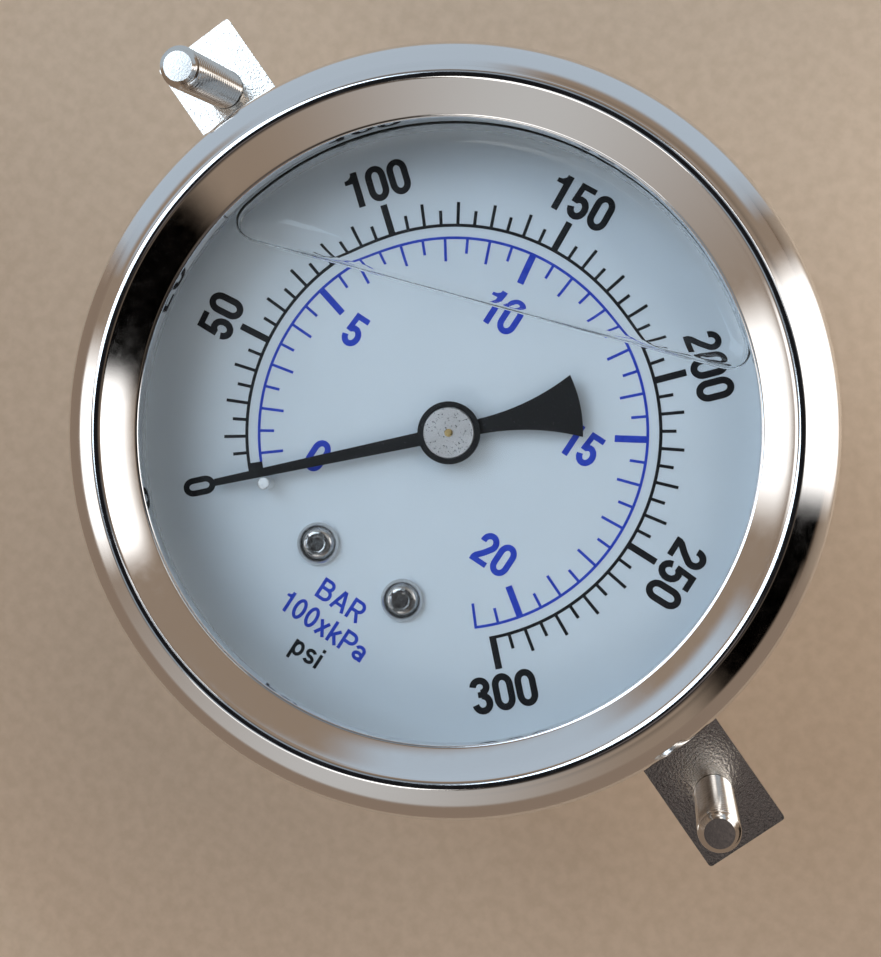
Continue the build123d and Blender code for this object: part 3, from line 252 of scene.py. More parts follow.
def small(sign):
    """A medium-weight small letter beside a capital one unit high: its polygons and its width."""
    t = LETTER_STROKE
    if sign == "k":
        arms = stroke([(0.12, 0.28), (0.5, 0.7)], t) + stroke([(0.25, 0.42), (0.53, 0)], t)
        return bar(0.03, 0, 0.03 + t, 1) + arms, 0.6
    if sign == "x":
        return stroke([(0.08, 0), (0.5, 0.7)], t) + stroke([(0.5, 0), (0.08, 0.7)], t), 0.6
    if sign == "a":
        over = stroke(bow(0.28, 0.46, 0.2, 0.17, 165, 0) + [(0.48, 0)], t)
        ring = bow(0.28, 0.21, 0.19, 0.14, 0, 360)
        return over + stroke(ring + ring[1:2], t), 0.6
    if sign == "p":
        ring = bow(0.32, 0.35, 0.2, 0.28, 0, 360)
        return bar(0.03, -0.26, 0.03 + t, 0.7) + stroke(ring + ring[1:2], t), 0.64
    if sign == "s":
        curve = bow(0.28, 0.49, 0.18, 0.14, 25, 255) + bow(0.28, 0.21, 0.19, 0.14, 75, -155)
        return stroke(curve, t), 0.56
    return bar(0.05, 0, 0.05 + t, 0.7) + bar(0.05, 0.82, 0.05 + t, 0.98), 0.29


def letter(sign):
    """A letter or digit of the units one capital high: its polygons and its width."""
    t = LETTER_STROKE
    if sign == "0":
        ring = bow(0.3, 0.5, 0.21, 0.425, 0, 360, 24)
        return stroke(ring + ring[1:2], t), 0.64
    if sign == "1":
        flag = [(0.06, 0.7), (0.26, 0.7), (0.3, 1.0), (0.2, 0.85), (0.06, 0.81)]
        return bar(0.24, 0, 0.24 + t, 1) + [flag], 0.56
    return capital(sign) if sign.isupper() else small(sign)


def placed(polygons, scale, centre, turn, offset):
    """Polygons scaled, shifted along their line of text, turned and put on the dial."""
    spin = Matrix.Rotation(math.radians(turn), 2)
    put = []
    for polygon in polygons:
        moved = [spin @ (Vector(p) * scale + Vector(offset)) + Vector(centre) for p in polygon]
        put.append([tuple(p) for p in moved])
    return put


def number(text, height, advance, centre, turn):
    """A number in condensed bold, centred on a point of the dial."""
    shapes = []
    for i, digit in enumerate(text):
        x = (i - (len(text) - 1) / 2) * advance - NUMERAL_WIDTH * height / 2
        shapes += placed(numeral(digit), height, centre, turn, (x, -height / 2))
    return shapes


def word(text, height, gap, centre):
    """A word in the medium weight, upright on the dial."""
    parts = [letter(sign) for sign in text]
    total = sum(width for _, width in parts) * height + gap * (len(parts) - 1)
    shapes, x = [], -total / 2
    for polygons, width in parts:
        shapes += placed(polygons, height, centre, 0, (x, -height / 2))
        x += width * height + gap
    return shapes


# ---------------------------------------------------------------- the two scales

PSI_ARC = 19.5
BAR_ARC = 0.939 * PSI_ARC
FINE, THICK = 0.3, 0.64
BLUE_FINE = 0.26
DEGREES_PER_PSI = 0.925
PSI_AT_TOP = 154.05
PSI_PER_BAR = 14.5038
ZERO_TURN, FULL_TURN = -135.0, 135.0
ZERO_BLOCK = 3.4
# how far the ticks reach, as shares of the psi arc's radius
PSI_LONG, PSI_MIDDLE, PSI_SHORT = 1.153, 1.113, 1.073
BAR_LONG, BAR_MIDDLE, BAR_SHORT = 0.784, 0.824, 0.864
FIRST_PSI_TICK, LAST_PSI, PSI_STEP = 15, 300, 5
FIRST_HALF_BAR, LAST_HALF_BAR = 2, 42


def psi_turn(psi):
    """Clock angle of a pressure in psi."""
    return (psi - PSI_AT_TOP) * DEGREES_PER_PSI


def psi_scale():
    """Black arc, ticks every 5 psi from 15 to 300, and the filled stop mark at zero."""
    half = math.degrees(THICK / 2 / PSI_ARC)
    shapes = ring_band(PSI_ARC - FINE / 2, PSI_ARC + FINE / 2, ZERO_TURN + 1, FULL_TURN + half)
    shapes += ring_band(BAR_ARC - 0.1, PSI_ARC + FINE / 2,
                        ZERO_TURN - 0.4, ZERO_TURN + ZERO_BLOCK, 0.7)
    for psi in range(FIRST_PSI_TICK, LAST_PSI + 1, PSI_STEP):
        if psi % 50 == 0:
            shapes.append(tick(psi_turn(psi), PSI_ARC, PSI_LONG * PSI_ARC, THICK))
        elif psi % 10 == 0:
            shapes.append(tick(psi_turn(psi), PSI_ARC, PSI_MIDDLE * PSI_ARC, FINE))
        else:
            shapes.append(tick(psi_turn(psi), PSI_ARC, PSI_SHORT * PSI_ARC, FINE))
    return shapes


def bar_scale():
    """Blue arc with ticks inward every half bar from 1 to 21."""
    last = psi_turn(LAST_HALF_BAR / 2 * PSI_PER_BAR) + math.degrees(BLUE_FINE / 2 / BAR_ARC)
    shapes = ring_band(BAR_ARC - BLUE_FINE / 2, BAR_ARC + BLUE_FINE / 2,
                       ZERO_TURN + ZERO_BLOCK, last)
    for half_bar in range(FIRST_HALF_BAR, LAST_HALF_BAR + 1):
        turn = psi_turn(half_bar / 2 * PSI_PER_BAR)
        if half_bar % 10 == 0:
            shapes.append(tick(turn, BAR_LONG * PSI_ARC, BAR_ARC, THICK))
        elif half_bar % 2 == 0:
            shapes.append(tick(turn, BAR_MIDDLE * PSI_ARC, BAR_ARC, BLUE_FINE))
        else:
            shapes.append(tick(turn, BAR_SHORT * PSI_ARC, BAR_ARC, BLUE_FINE))
    return shapes


NUMBER_RADIUS = 24.65
NUMBER_HEIGHT = 3.5
NUMBER_ADVANCE = 2.15
ZERO_HEIGHT = 0.9 * NUMBER_HEIGHT


def psi_numbers():
    """Black numbers round the rim: tops outward, except the last, whose top faces the centre."""
    zero_spot = polar(NUMBER_RADIUS, ZERO_TURN)
    shapes = number("0", ZERO_HEIGHT, NUMBER_ADVANCE, zero_spot, -ZERO_TURN)
    for psi in range(50, 251, 50):
        turn = psi_turn(psi)
        shapes += number(str(psi), NUMBER_HEIGHT, NUMBER_ADVANCE, polar(NUMBER_RADIUS, turn), -turn)
    return shapes + number("300", NUMBER_HEIGHT, NUMBER_ADVANCE,
                           polar(NUMBER_RADIUS, FULL_TURN), 180 - FULL_TURN)


BAR_NUMBER_HEIGHT = 3.2
BAR_NUMBER_ADVANCE = 1.95
BAR_NUMBERS = {
    "0": (-9.4, -8.7),
    "5": (-12.9, 3.1),
    "10": (-2.1, 12.0),
    "15": (10.75, 5.75),
    "20": (9.7, -7.2),
}


def bar_numbers():
    """Blue numbers inside the arc, all upright."""
    shapes = []
    for text, centre in BAR_NUMBERS.items():
        shapes += number(text, BAR_NUMBER_HEIGHT, BAR_NUMBER_ADVANCE, centre, 0)
    return shapes


UNIT_HEIGHT = 2.1
UNIT_GAP, LONG_UNIT_GAP = 0.08, 0.06
BAR_SPOT, KPA_SPOT, PSI_SPOT = (0, -18.9), (0, -21.8), (0, -24.7)


def dial_print():
    """Every printed mark, as thin skins on the dial."""
    black, blue = print_black(), print_blue()
    printed("print_psi_scale", psi_scale(), black)
    printed("print_bar_scale", bar_scale(), blue)
    printed("print_psi_numbers", psi_numbers(), black)
    printed("print_bar_numbers", bar_numbers(), blue)
    units = word("BAR", UNIT_HEIGHT, UNIT_GAP, BAR_SPOT)
    units += word("100xkPa", UNIT_HEIGHT, LONG_UNIT_GAP, KPA_SPOT)
    printed("print_bar_units", units, blue)
    psi_unit = word("psi", UNIT_HEIGHT, UNIT_GAP, PSI_SPOT)
    printed("print_psi_unit", psi_unit, black)


# ---------------------------------------------------------------- turned and threaded parts

def new_ring(bm, z, radius, sides):
    """A ring of points at a height, whose radius may be a function of the angle."""
    ring = []
    for i in range(sides):
        angle = TAU * i / sides
        r = radius(angle) if callable(radius) else radius
        ring.append(bm.verts.new((r * math.cos(angle), r * math.sin(angle), z)))
    return ring


def skin(bm, rings):
    """Quads between each ring and the next."""
    for lower, upper in zip(rings, rings[1:]):
        for i in range(len(lower)):
            j = (i + 1) % len(lower)
            bm.faces.new((lower[i], lower[j], upper[j], upper[i]))


def ring_edges(ring):
    """The edges round a ring that already has faces."""
    pairs = zip(ring, ring[1:] + ring[:1])
    return [edge for a, b in pairs for edge in a.link_edges if edge.other_vert(a) == b]


def arc(start, through, end, steps):
    """Points of a circular arc from one point through another to a third."""
    ax, ay = start[0] - through[0], start[1] - through[1]
    bx, by = end[0] - through[0], end[1] - through[1]
    cross = 2 * (ax * by - ay * bx)
    a2, b2 = ax * ax + ay * ay, bx * bx + by * by
    cx = through[0] + (by * a2 - ay * b2) / cross
    cy = through[1] + (ax * b2 - bx * a2) / cross
    radius = math.hypot(start[0] - cx, start[1] - cy)
    first = math.atan2(start[1] - cy, start[0] - cx)
    turn = math.remainder(math.atan2(through[1] - cy, through[0] - cx) - first, TAU)
    turn += math.remainder(math.atan2(end[1] - cy, end[0] - cx) - first - turn, TAU)
    angles = [first + turn * i / steps for i in range(steps + 1)]
    return [(cx + radius * math.cos(a), cy + radius * math.sin(a)) for a in angles]


# one pitch of thread, as shares of the pitch and of the depth, with a rounded crest
THREAD_ROWS = ((0.0, 0.0), (0.12, 0.12), (0.36, 0.86), (0.44, 0.97), (0.5, 1.0),
               (0.56, 0.97), (0.64, 0.86), (0.88, 0.12))


def thread_grid(bm, radius, depth, pitch, z0, z1, chamfers, sides):
    """The skin of a helical thread from one height to another, with its chamfered ends left open."""
    turns = math.ceil((z1 - z0) / pitch) + 2
    columns = []
    for i in range(sides):
        angle = TAU * i / sides
        column = []
        for k in range(turns * len(THREAD_ROWS)):
            part, rise = THREAD_ROWS[k % len(THREAD_ROWS)]
            z = z0 + pitch * (k // len(THREAD_ROWS) + part + i / sides - 1.5)
            r = radius - depth * (1 - rise)
            column.append(bm.verts.new((r * math.cos(angle), r * math.sin(angle), z)))
        columns.append(column)
    for i in range(sides):
        last = i == sides - 1
        here, after = columns[i], columns[0][len(THREAD_ROWS):] if last else columns[i + 1]
        for k in range(min(len(here), len(after)) - 1):
            bm.faces.new((here[k], after[k], after[k + 1], here[k + 1]))
    return trim_thread(bm, radius, z0, z1, chamfers)


def trim_thread(bm, radius, z0, z1, chamfers):
    """Cuts a thread off square at both heights, and turns its ends down to a chamfer."""
    levels = [(z0, -1, True), (z1, 1, True),
              (z0 + chamfers[0], -1, False), (z1 - chamfers[1], 1, False)]
    for z, way, clear in levels:
        everything = bm.verts[:] + bm.edges[:] + bm.faces[:]
        bmesh.ops.bisect_plane(bm, geom=everything, dist=CLOSE, plane_co=(0, 0, z),
                               plane_no=(0, 0, way), clear_outer=clear)
    for vert in bm.verts:
        cap = radius - max(0.0, z0 + chamfers[0] - vert.co.z, vert.co.z - z1 + chamfers[1])
        here = math.hypot(vert.co.x, vert.co.y)
        if here > cap:
            vert.co.x *= cap / here
            vert.co.y *= cap / here
    open_edges = [edge for edge in bm.edges if len(edge.link_faces) == 1]
    lower = [edge for edge in open_edges if abs(edge.verts[0].co.z - z0) < LEVEL]
    upper = [edge for edge in open_edges if abs(edge.verts[0].co.z - z1) < LEVEL]
    return lower, upper


M4_PITCH = 0.7
M4_DEPTH = 0.4


def rod(radius, length, chamfers):
    """A closed threaded rod along Z, centred on its own origin."""
    bm = bmesh.new()
    half = length / 2
    ends = thread_grid(bm, radius, M4_DEPTH, M4_PITCH, -half, half, chamfers, SCREW_SIDES)
    for edges in ends:
        bmesh.ops.edgeloop_fill(bm, edges=edges)
    bmesh.ops.recalc_face_normals(bm, faces=bm.faces)
    return bm


def box_cutter(size, centre):
    """A temporary box for cutting a slot."""
    bm = bmesh.new()
    bmesh.ops.create_cube(bm, size=1.0)
    bmesh.ops.scale(bm, vec=size, verts=bm.verts)
    bmesh.ops.translate(bm, vec=centre, verts=bm.verts)
    cutter = bpy.data.objects.new("cutter", mesh_from(bm, "cutter", smooth=False))
    bpy.context.scene.collection.objects.link(cutter)
    return cutter


def cut(piece, cutter):
    """Subtracts the cutter from a piece, and removes the cutter."""
    subtract = piece.modifiers.new("cut", "BOOLEAN")
    subtract.operation = "DIFFERENCE"
    subtract.solver = "EXACT"
    subtract.object = cutter
    seen = piece.evaluated_get(bpy.context.evaluated_depsgraph_get())
    mesh = bpy.data.meshes.new_from_object(seen)
    piece.modifiers.remove(subtract)
    piece.data = mesh
    bpy.data.objects.remove(cutter)


SCREW_RADIUS = 2.0
SCREW_LENGTH = 25.0
SCREW_SIDES = 60
SCREW_CHAMFERS = (0.4, 0.6)
DRIVER_SLOT = (3 * SCREW_RADIUS, 0.8, 2.6)
STUD_CHAMFERS = (0.4, 0.02)
BRACKET_ANGLE = math.radians(158.2)
BRACKET_LINE = Vector((math.cos(BRACKET_ANGLE), math.sin(BRACKET_ANGLE), 0))


def slide_axis(body):
    """The direction in which a body's joint slides."""
    joint = next(j for j in frame["joints"] if j["child"] == body)
    return Vector(joint["axis"]).normalized()


def clamp_screw(name, material):
    """A long clamp screw along its own leaning axis, threaded, with a driver slot at the rear end."""
    body = name.replace("_screw", "")
    bm = rod(SCREW_RADIUS, SCREW_LENGTH, SCREW_CHAMFERS)
    sharpen(bm, 40)
    piece = add_object(name + "_threaded", mesh_from(bm, name), material, body)
    cut(piece, box_cutter(DRIVER_SLOT, (0, 0, -SCREW_LENGTH / 2)))
    along = slide_axis(body)
    across = (BRACKET_LINE - along * BRACKET_LINE.dot(along)).normalized()
    turn = Matrix((across, along.cross(across), along)).transposed().to_4x4()
    piece.data.transform(Matrix.Translation(middle(name) * MM) @ turn)
    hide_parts(name)


def bracket_studs(material):
    """The two studs on the case back, threaded."""
    lo, hi = low("bracket_studs"), high("bracket_studs")
    spot = Vector((lo.x + SCREW_RADIUS, hi.y - SCREW_RADIUS))
    for side, name in ((1, "bracket_stud_a"), (-1, "bracket_stud_b")):
        bm = rod(SCREW_RADIUS, hi.z - lo.z, STUD_CHAMFERS)
        bmesh.ops.translate(bm, vec=(side * spot.x, side * spot.y, (lo.z + hi.z) / 2), verts=bm.verts)
        sharpen(bm, 40)
        piece = add_object(name, mesh_from(bm, name), material, "gauge")
        if side == 1:
            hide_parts("bracket_studs")


# ---------------------------------------------------------------- bezel

BEZEL_SIDES = 288


def bezel_profile():
    """The rolled sheet's outline as radius and height over the panel face, from the hook round."""
    outside = [(32.0, 0.0)]
    outside += arc((34.0, 0.0), (34.636, 0.264), (34.9, 0.9), 8)
    outside += arc((34.9, 2.0), (33.7, 3.9), (31.75, 5.1), 24)
    outside += arc((31.75, 5.1), (31.2, 5.25), (30.65, 5.0), 16)[1:]
    outside += arc((30.65, 5.0), (29.45, 3.8), (28.2, 2.75), 24)[1:]
    outside += arc((28.2, 2.75), (28.059, 2.691), (28.0, 2.55), 6)[1:]
    inside = [(28.0, 1.45)]
    inside += arc((28.95, 1.45), (30.1, 2.78), (31.2, 4.35), 10)
    inside += arc((31.2, 4.35), (33.05, 3.4), (34.15, 1.8), 10)[1:]
    return outside + inside + [(34.15, 0.75), (32.0, 0.75)]


def bezel(material):
    """The polished ring, turned finely enough for clean mirror images."""
    bm = bmesh.new()
    base = low("bezel").z
    rings = [new_ring(bm, base + z, r, BEZEL_SIDES) for r, z in bezel_profile()]
    skin(bm, rings + rings[:1])
    bmesh.ops.recalc_face_normals(bm, faces=bm.faces)
    sharpen(bm, 30)
    piece = add_object("bezel_ring", mesh_from(bm, "bezel_ring"), material, "gauge")
    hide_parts("bezel")


# ---------------------------------------------------------------- pressure connection

PIPE_PITCH = 1.337
PIPE_DEPTH = 0.8
PIPE_LENGTH = 12.4
PIPE_RADIUS = 6.58
UNDERCUT_RADIUS = 5.83
HEX_START, HEX_END = 14.0, 21.4
HEX_FLATS = 14.0
HEX_TURN = math.radians(68.2)
# the spanner corners' chamfer: its height, its steps, where it starts, and how fast it widens
HEX_CHAMFER, HEX_CHAMFER_STEPS = 0.78, 6
HEX_CHAMFER_START = HEX_FLATS / 2 * 0.955
HEX_CHAMFER_SLOPE = 1.75
NECK_RADIUS = 7.0
BOSS_RADIUS = 13.0
PORT_RADIUS = 3.0
PORT_DEPTH = 16.0
CHANNEL_RADIUS = 1.5
CONNECTION_SIDES = 144
PIPE_CHAMFERS = (0.8, 0.8)
PORT_CHAMFER = 0.4
RUNOUT = 0.15
CASE_WALL = 0.8
CHANNEL_END = 1.0


def hexagon(angle):
    """Radius of the spanner hexagon at an angle."""
    return HEX_FLATS / 2 / math.cos((angle - HEX_TURN + TAU / 12) % (TAU / 6) - TAU / 12)


def hex_levels():
    """Rings of the hexagon, with its corners turned off at both ends."""
    levels = []
    for i in range(HEX_CHAMFER_STEPS + 1):
        rise = HEX_CHAMFER * i / HEX_CHAMFER_STEPS
        cap = HEX_CHAMFER_START + rise * HEX_CHAMFER_SLOPE
        levels.append((rise, lambda angle, cap=cap: min(cap, hexagon(angle))))
    below = [(HEX_START + rise, radius) for rise, radius in levels]
    above = [(HEX_END - rise, radius) for rise, radius in reversed(levels)]
    return below + above


def pressure_connection(material):
    """Socket with pipe thread, undercut, hexagon and neck, bored up the middle."""
    bm = bmesh.new()
    bottom, top = thread_grid(bm, PIPE_RADIUS, PIPE_DEPTH, PIPE_PITCH, 0.0, PIPE_LENGTH,
                              PIPE_CHAMFERS, CONNECTION_SIDES)
    inside = low("case").z + CASE_WALL
    bore = [(inside - CHANNEL_END, CHANNEL_RADIUS), (PORT_DEPTH, CHANNEL_RADIUS),
            (PORT_DEPTH, PORT_RADIUS), (PORT_CHAMFER, PORT_RADIUS), (0.0, PORT_RADIUS + PORT_CHAMFER)]
    stem = [(PIPE_LENGTH + RUNOUT, UNDERCUT_RADIUS), (HEX_START, UNDERCUT_RADIUS)] + hex_levels()
    stem += [(HEX_END, NECK_RADIUS), (inside, NECK_RADIUS), (inside, BOSS_RADIUS),
             (low("movement_back_plate").z, BOSS_RADIUS)]
    bore_rings = [new_ring(bm, z, r, CONNECTION_SIDES) for z, r in bore]
    stem_rings = [new_ring(bm, z, r, CONNECTION_SIDES) for z, r in stem]
    skin(bm, bore_rings)
    skin(bm, stem_rings)
    bmesh.ops.bridge_loops(bm, edges=bottom + ring_edges(bore_rings[-1]))
    bmesh.ops.bridge_loops(bm, edges=top + ring_edges(stem_rings[0]))
    bm.faces.new(bore_rings[0])
    bm.faces.new(stem_rings[-1])
    bmesh.ops.recalc_face_normals(bm, faces=bm.faces)
    sharpen(bm, 40)
    mesh = mesh_from(bm, "pressure_connection")
    piece = add_object("pressure_connection", mesh, material, "gauge")
    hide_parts("socket")


# ---------------------------------------------------------------- liquid filling with its air bubble

BUBBLE_TURN = 107.5
BUBBLE_CHORD = 12.2
BUBBLE_RIM = 28.5
BUBBLE_CORNER = 3.2
LIQUID_RADIUS = 29.4
LIQUID_SIDES = 160
SINK = 0.01
MENISCUS_DROP = 1.85
MENISCUS_REACH = 0.9
SURFACE_TILT = 0.07
# the bubble bulges a little way under the liquid that wets the window, and then falls steeply
EDGE_ROUND = 0.58
EDGE_DROP = 0.25
EDGE_REACH = 0.07
EDGE_ROUND_STEPS = 12
BUBBLE_STEPS = (0, 0.01, 0.03, 0.06, 0.1, 0.15, 0.22, 0.3, 0.4, 0.52, 0.68, 0.88,
                1.1, 1.4, 1.8, 2.3, 3.0)


def bubble_corner(inset, fraction):
    """A point on the bubble's rounded right corner, in the bubble's own frame."""
    swing = math.radians(90 * fraction)
    reach = BUBBLE_CORNER - inset
    up = BUBBLE_CHORD + BUBBLE_CORNER - reach * math.cos(swing)
    radius = BUBBLE_RIM - BUBBLE_CORNER + reach * math.sin(swing)
    return Vector((math.sqrt(radius * radius - up * up), up))


def bubble_outline(inset, corner_steps=16, rim_steps=56, chord_steps=40):
    """The bubble's edge moved inwards by an inset, as one closed line in its own frame."""
    right = [bubble_corner(inset, i / corner_steps) for i in range(corner_steps + 1)]
    start = math.atan2(right[-1].y, right[-1].x)
    rim = BUBBLE_RIM - inset
    around = []
    for i in range(1, rim_steps):
        angle = start + (math.pi - 2 * start) * i / rim_steps
        around.append(Vector((rim * math.cos(angle), rim * math.sin(angle))))
    left = [Vector((-p.x, p.y)) for p in reversed(right)]
    across = [left[-1].lerp(right[0], i / chord_steps) for i in range(1, chord_steps)]
    return right + around + left + across


def bubble_edge():
    """Insets and depths of the bubble's rings, from where it leaves the window; the side is round."""
    swings = [TAU / 4 * i / EDGE_ROUND_STEPS for i in range(EDGE_ROUND_STEPS)]
    side = [(EDGE_ROUND * (1 - math.sin(s)), EDGE_ROUND * (1 - math.cos(s))) for s in swings]
    return side + [(inset, EDGE_ROUND) for inset in BUBBLE_STEPS]


def meniscus(inset, up):
    """Depth of the liquid's free surface under the window, inside the bubble's rounded side."""
    drop = MENISCUS_DROP + SURFACE_TILT * up - EDGE_ROUND - EDGE_DROP
    depth = EDGE_ROUND + drop * (1 - math.exp(-inset / MENISCUS_REACH))
    return depth + EDGE_DROP * (1 - math.exp(-inset / EDGE_REACH))


def bubble_skin(bm, touching):
    """The bubble's floor and rounded side, and its first ring, where it leaves the window."""
    spin = Matrix.Rotation(math.radians(BUBBLE_TURN - 90), 2)
    rings = []
    for inset, rounding in bubble_edge():
        ring = []
        for point in bubble_outline(inset):
            depth = rounding if rounding < EDGE_ROUND else meniscus(inset, point.y - BUBBLE_CHORD)
            spot = spin @ point
            ring.append(bm.verts.new((spot.x, spot.y, touching - depth)))
        rings.append(ring)
    skin(bm, rings)
    bm.faces.new(rings[-1])
    return rings[0]


def liquid_walls(bm, touching):
    """The liquid's side and back."""
    walls = []
    for z in (touching, (low("dial").z + DIAL_FACE) / 2):
        spots = [polar(LIQUID_RADIUS, 360 * i / LIQUID_SIDES) for i in range(LIQUID_SIDES)]
        walls.append([bm.verts.new((x, y, z)) for x, y in spots])
    skin(bm, walls)
    bm.faces.new(walls[1])


def liquid(material):
    """The liquid as one closed body, whose front leaves the window at the bubble's edge."""
    bm = bmesh.new()
    touching = WINDOW_INNER + SINK
    edge_ring = bubble_skin(bm, touching)
    liquid_walls(bm, touching)
    open_edges = [edge for edge in bm.edges if len(edge.link_faces) == 1]
    bmesh.ops.triangle_fill(bm, use_beauty=True, edges=open_edges)
    sharpen(bm, 30)
    for edge in ring_edges(edge_ring):
        edge.smooth = False
    piece = add_object("liquid", mesh_from(bm, "liquid"), material, "gauge")
    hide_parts("glycerin_fill")


# ---------------------------------------------------------------- material building blocks

def finish_material(name, colour, roughness, metallic=0.0, **more):
    """A new Principled material with its plain values set on the shader itself."""
    material = bpy.data.materials.new(name)
    material.use_nodes = True
    shader = material.node_tree.nodes["Principled BSDF"]
    shader.inputs["Base Color"].default_value = (*colour, 1)
    shader.inputs["Roughness"].default_value = roughness
    shader.inputs["Metallic"].default_value = metallic
    for key, value in more.items():
        shader.inputs[key.replace("_", " ")].default_value = value
    return material


def shader_of(material):
    """The material's Principled shader."""
    return material.node_tree.nodes["Principled BSDF"]


def grain(material, per_mm, stretch=(1, 1, 1), detail=3.0):
    """A noise pattern in the part's own frame, with so many cells per millimetre."""
    nodes, links = material.node_tree.nodes, material.node_tree.links
    place = nodes.new("ShaderNodeTexCoord")
    scale = nodes.new("ShaderNodeMapping")
    scale.inputs["Scale"].default_value = [axis * per_mm / MM for axis in stretch]
    noise = nodes.new("ShaderNodeTexNoise")
    noise.inputs["Scale"].default_value = 1.0
    noise.inputs["Detail"].default_value = detail
    links.new(place.outputs["Object"], scale.inputs["Vector"])
    links.new(scale.outputs["Vector"], noise.inputs["Vector"])
    return noise.outputs["Fac"]


def spread(material, pattern, low_in, high_in, low_out, high_out):
    """Maps a pattern from one range to another."""
    node = material.node_tree.nodes.new("ShaderNodeMapRange")
    node.inputs["From Min"].default_value = low_in
    node.inputs["From Max"].default_value = high_in
    node.inputs["To Min"].default_value = low_out
    node.inputs["To Max"].default_value = high_out
    material.node_tree.links.new(pattern, node.inputs["Value"])
    return node.outputs["Result"]


def vary_roughness(material, pattern, smooth, rough):
    """Lets a pattern move the roughness between two values."""
    value = spread(material, pattern, 0.3, 0.7, smooth, rough)
    material.node_tree.links.new(value, shader_of(material).inputs["Roughness"])


def vary_colour(material, pattern, first, second, start=0.35, end=0.65):
    """Lets a pattern move the base colour between two values."""
    nodes, links = material.node_tree.nodes, material.node_tree.links
    mix = nodes.new("ShaderNodeMix")
    mix.data_type = "RGBA"
    mix.inputs["A"].default_value = (*first, 1)
    mix.inputs["B"].default_value = (*second, 1)
    links.new(spread(material, pattern, start, end, 0, 1), mix.inputs["Factor"])
    links.new(mix.outputs["Result"], shader_of(material).inputs["Base Color"])


def raise_surface(material, pattern, height):
    """Bump from a pattern, with its height in millimetres."""
    nodes, links = material.node_tree.nodes, material.node_tree.links
    bump = nodes.new("ShaderNodeBump")
    bump.inputs["Strength"].default_value = 1.0
    bump.inputs["Distance"].default_value = height * MM
    links.new(pattern, bump.inputs["Height"])
    links.new(bump.outputs["Normal"], shader_of(material).inputs["Normal"])


# rings that a wave texture of scale 1 shows in one unit
WAVES_PER_UNIT = 3.2


def turned_rings(material, per_mm):
    """A pattern of fine rings round the dial's axis, as a lathe leaves them."""
    nodes, links = material.node_tree.nodes, material.node_tree.links
    place = nodes.new("ShaderNodeTexCoord")
    rings = nodes.new("ShaderNodeTexWave")
    rings.wave_type = "RINGS"
    rings.rings_direction = "Z"
    rings.inputs["Scale"].default_value = per_mm / MM / WAVES_PER_UNIT
    rings.inputs["Distortion"].default_value = 1.5
    rings.inputs["Detail"].default_value = 3.0
    rings.inputs["Detail Scale"].default_value = 2.0
    links.new(place.outputs["Object"], rings.inputs["Vector"])
    return rings.outputs["Fac"]


# ---------------------------------------------------------------- the materials

def polished_steel():
    """Bright rolled bezel with faint waviness and hairline wear."""
    material = finish_material("bezel_polished_steel", (0.83, 0.83, 0.84), 0.07, 1.0)
    vary_roughness(material, grain(material, 0.9, detail=6.0), 0.05, 0.12)
    raise_surface(material, grain(material, 0.25, detail=1.0), 0.0025)
    return material


def satin_steel():
    """Deep-drawn case: satin, with fine rings left by the spinning."""
    material = finish_material("case_satin_steel", (0.66, 0.66, 0.67), 0.28, 1.0)
    vary_roughness(material, grain(material, 0.8, (0.2, 0.2, 6)), 0.2, 0.36)
    raise_surface(material, grain(material, 2.0, (0.1, 0.1, 4)), 0.004)
    return material


def bright_nickel():
    """Nickel plating over rolled strip: mirror-like with a fine gritty grain."""
    material = finish_material("bracket_nickel", (0.78, 0.755, 0.72), 0.12, 1.0)
    vary_roughness(material, grain(material, 2.5), 0.1, 0.24)
    raise_surface(material, grain(material, 4.0, detail=3.0), 0.026)
    return material


def screw_nickel():
    """Plated screw thread."""
    material = finish_material("screw_nickel", (0.74, 0.72, 0.69), 0.16, 1.0)
    vary_roughness(material, grain(material, 3.0), 0.08, 0.18)
    raise_surface(material, grain(material, 5.0), 0.002)
    return material


def zinc_steel():
    """Small zinc-plated screws and washers."""
    material = finish_material("zinc_steel", (0.6, 0.6, 0.61), 0.3, 1.0)
    vary_roughness(material, grain(material, 4.0), 0.2, 0.42)
    raise_surface(material, grain(material, 8.0), 0.003)
    return material


def dark_screw():
    """Dark glossy plating of the cross-head dial screws."""
    material = finish_material("dial_screw_steel", (0.66, 0.64, 0.63), 0.2, 1.0)
    vary_roughness(material, grain(material, 5.0), 0.1, 0.24)
    raise_surface(material, grain(material, 7.0), 0.006)
    return material


def pin_steel():
    """Bright stop pin."""
    material = finish_material("pin_nickel", (0.92, 0.92, 0.92), 0.3, 1.0)
    vary_roughness(material, grain(material, 6.0), 0.24, 0.4)
    return material


def machined_brass():
    """Brass with faint turning marks and slight tarnish."""
    material = finish_material("machined_brass", (0.72, 0.53, 0.25), 0.28, 1.0)
    vary_colour(material, grain(material, 0.35), (0.74, 0.56, 0.27), (0.6, 0.42, 0.19))
    vary_roughness(material, grain(material, 1.2), 0.2, 0.4)
    raise_surface(material, grain(material, 3.0, (0.3, 0.3, 3)), 0.004)
    return material


def spring_bronze():
    """Rolled bronze of the Bourdon tube and hairspring."""
    material = finish_material("spring_bronze", (0.66, 0.42, 0.24), 0.3, 1.0)
    vary_roughness(material, grain(material, 2.0), 0.22, 0.42)
    raise_surface(material, grain(material, 4.0), 0.004)
    return material


def turned_aluminium():
    """Pointer hub: fine turned rings with a few bright nicks."""
    material = finish_material("hub_aluminium", (0.62, 0.6, 0.6), 0.34, 1.0)
    vary_roughness(material, grain(material, 6.0), 0.24, 0.5)
    raise_surface(material, turned_rings(material, 6.0), 0.004)
    return material


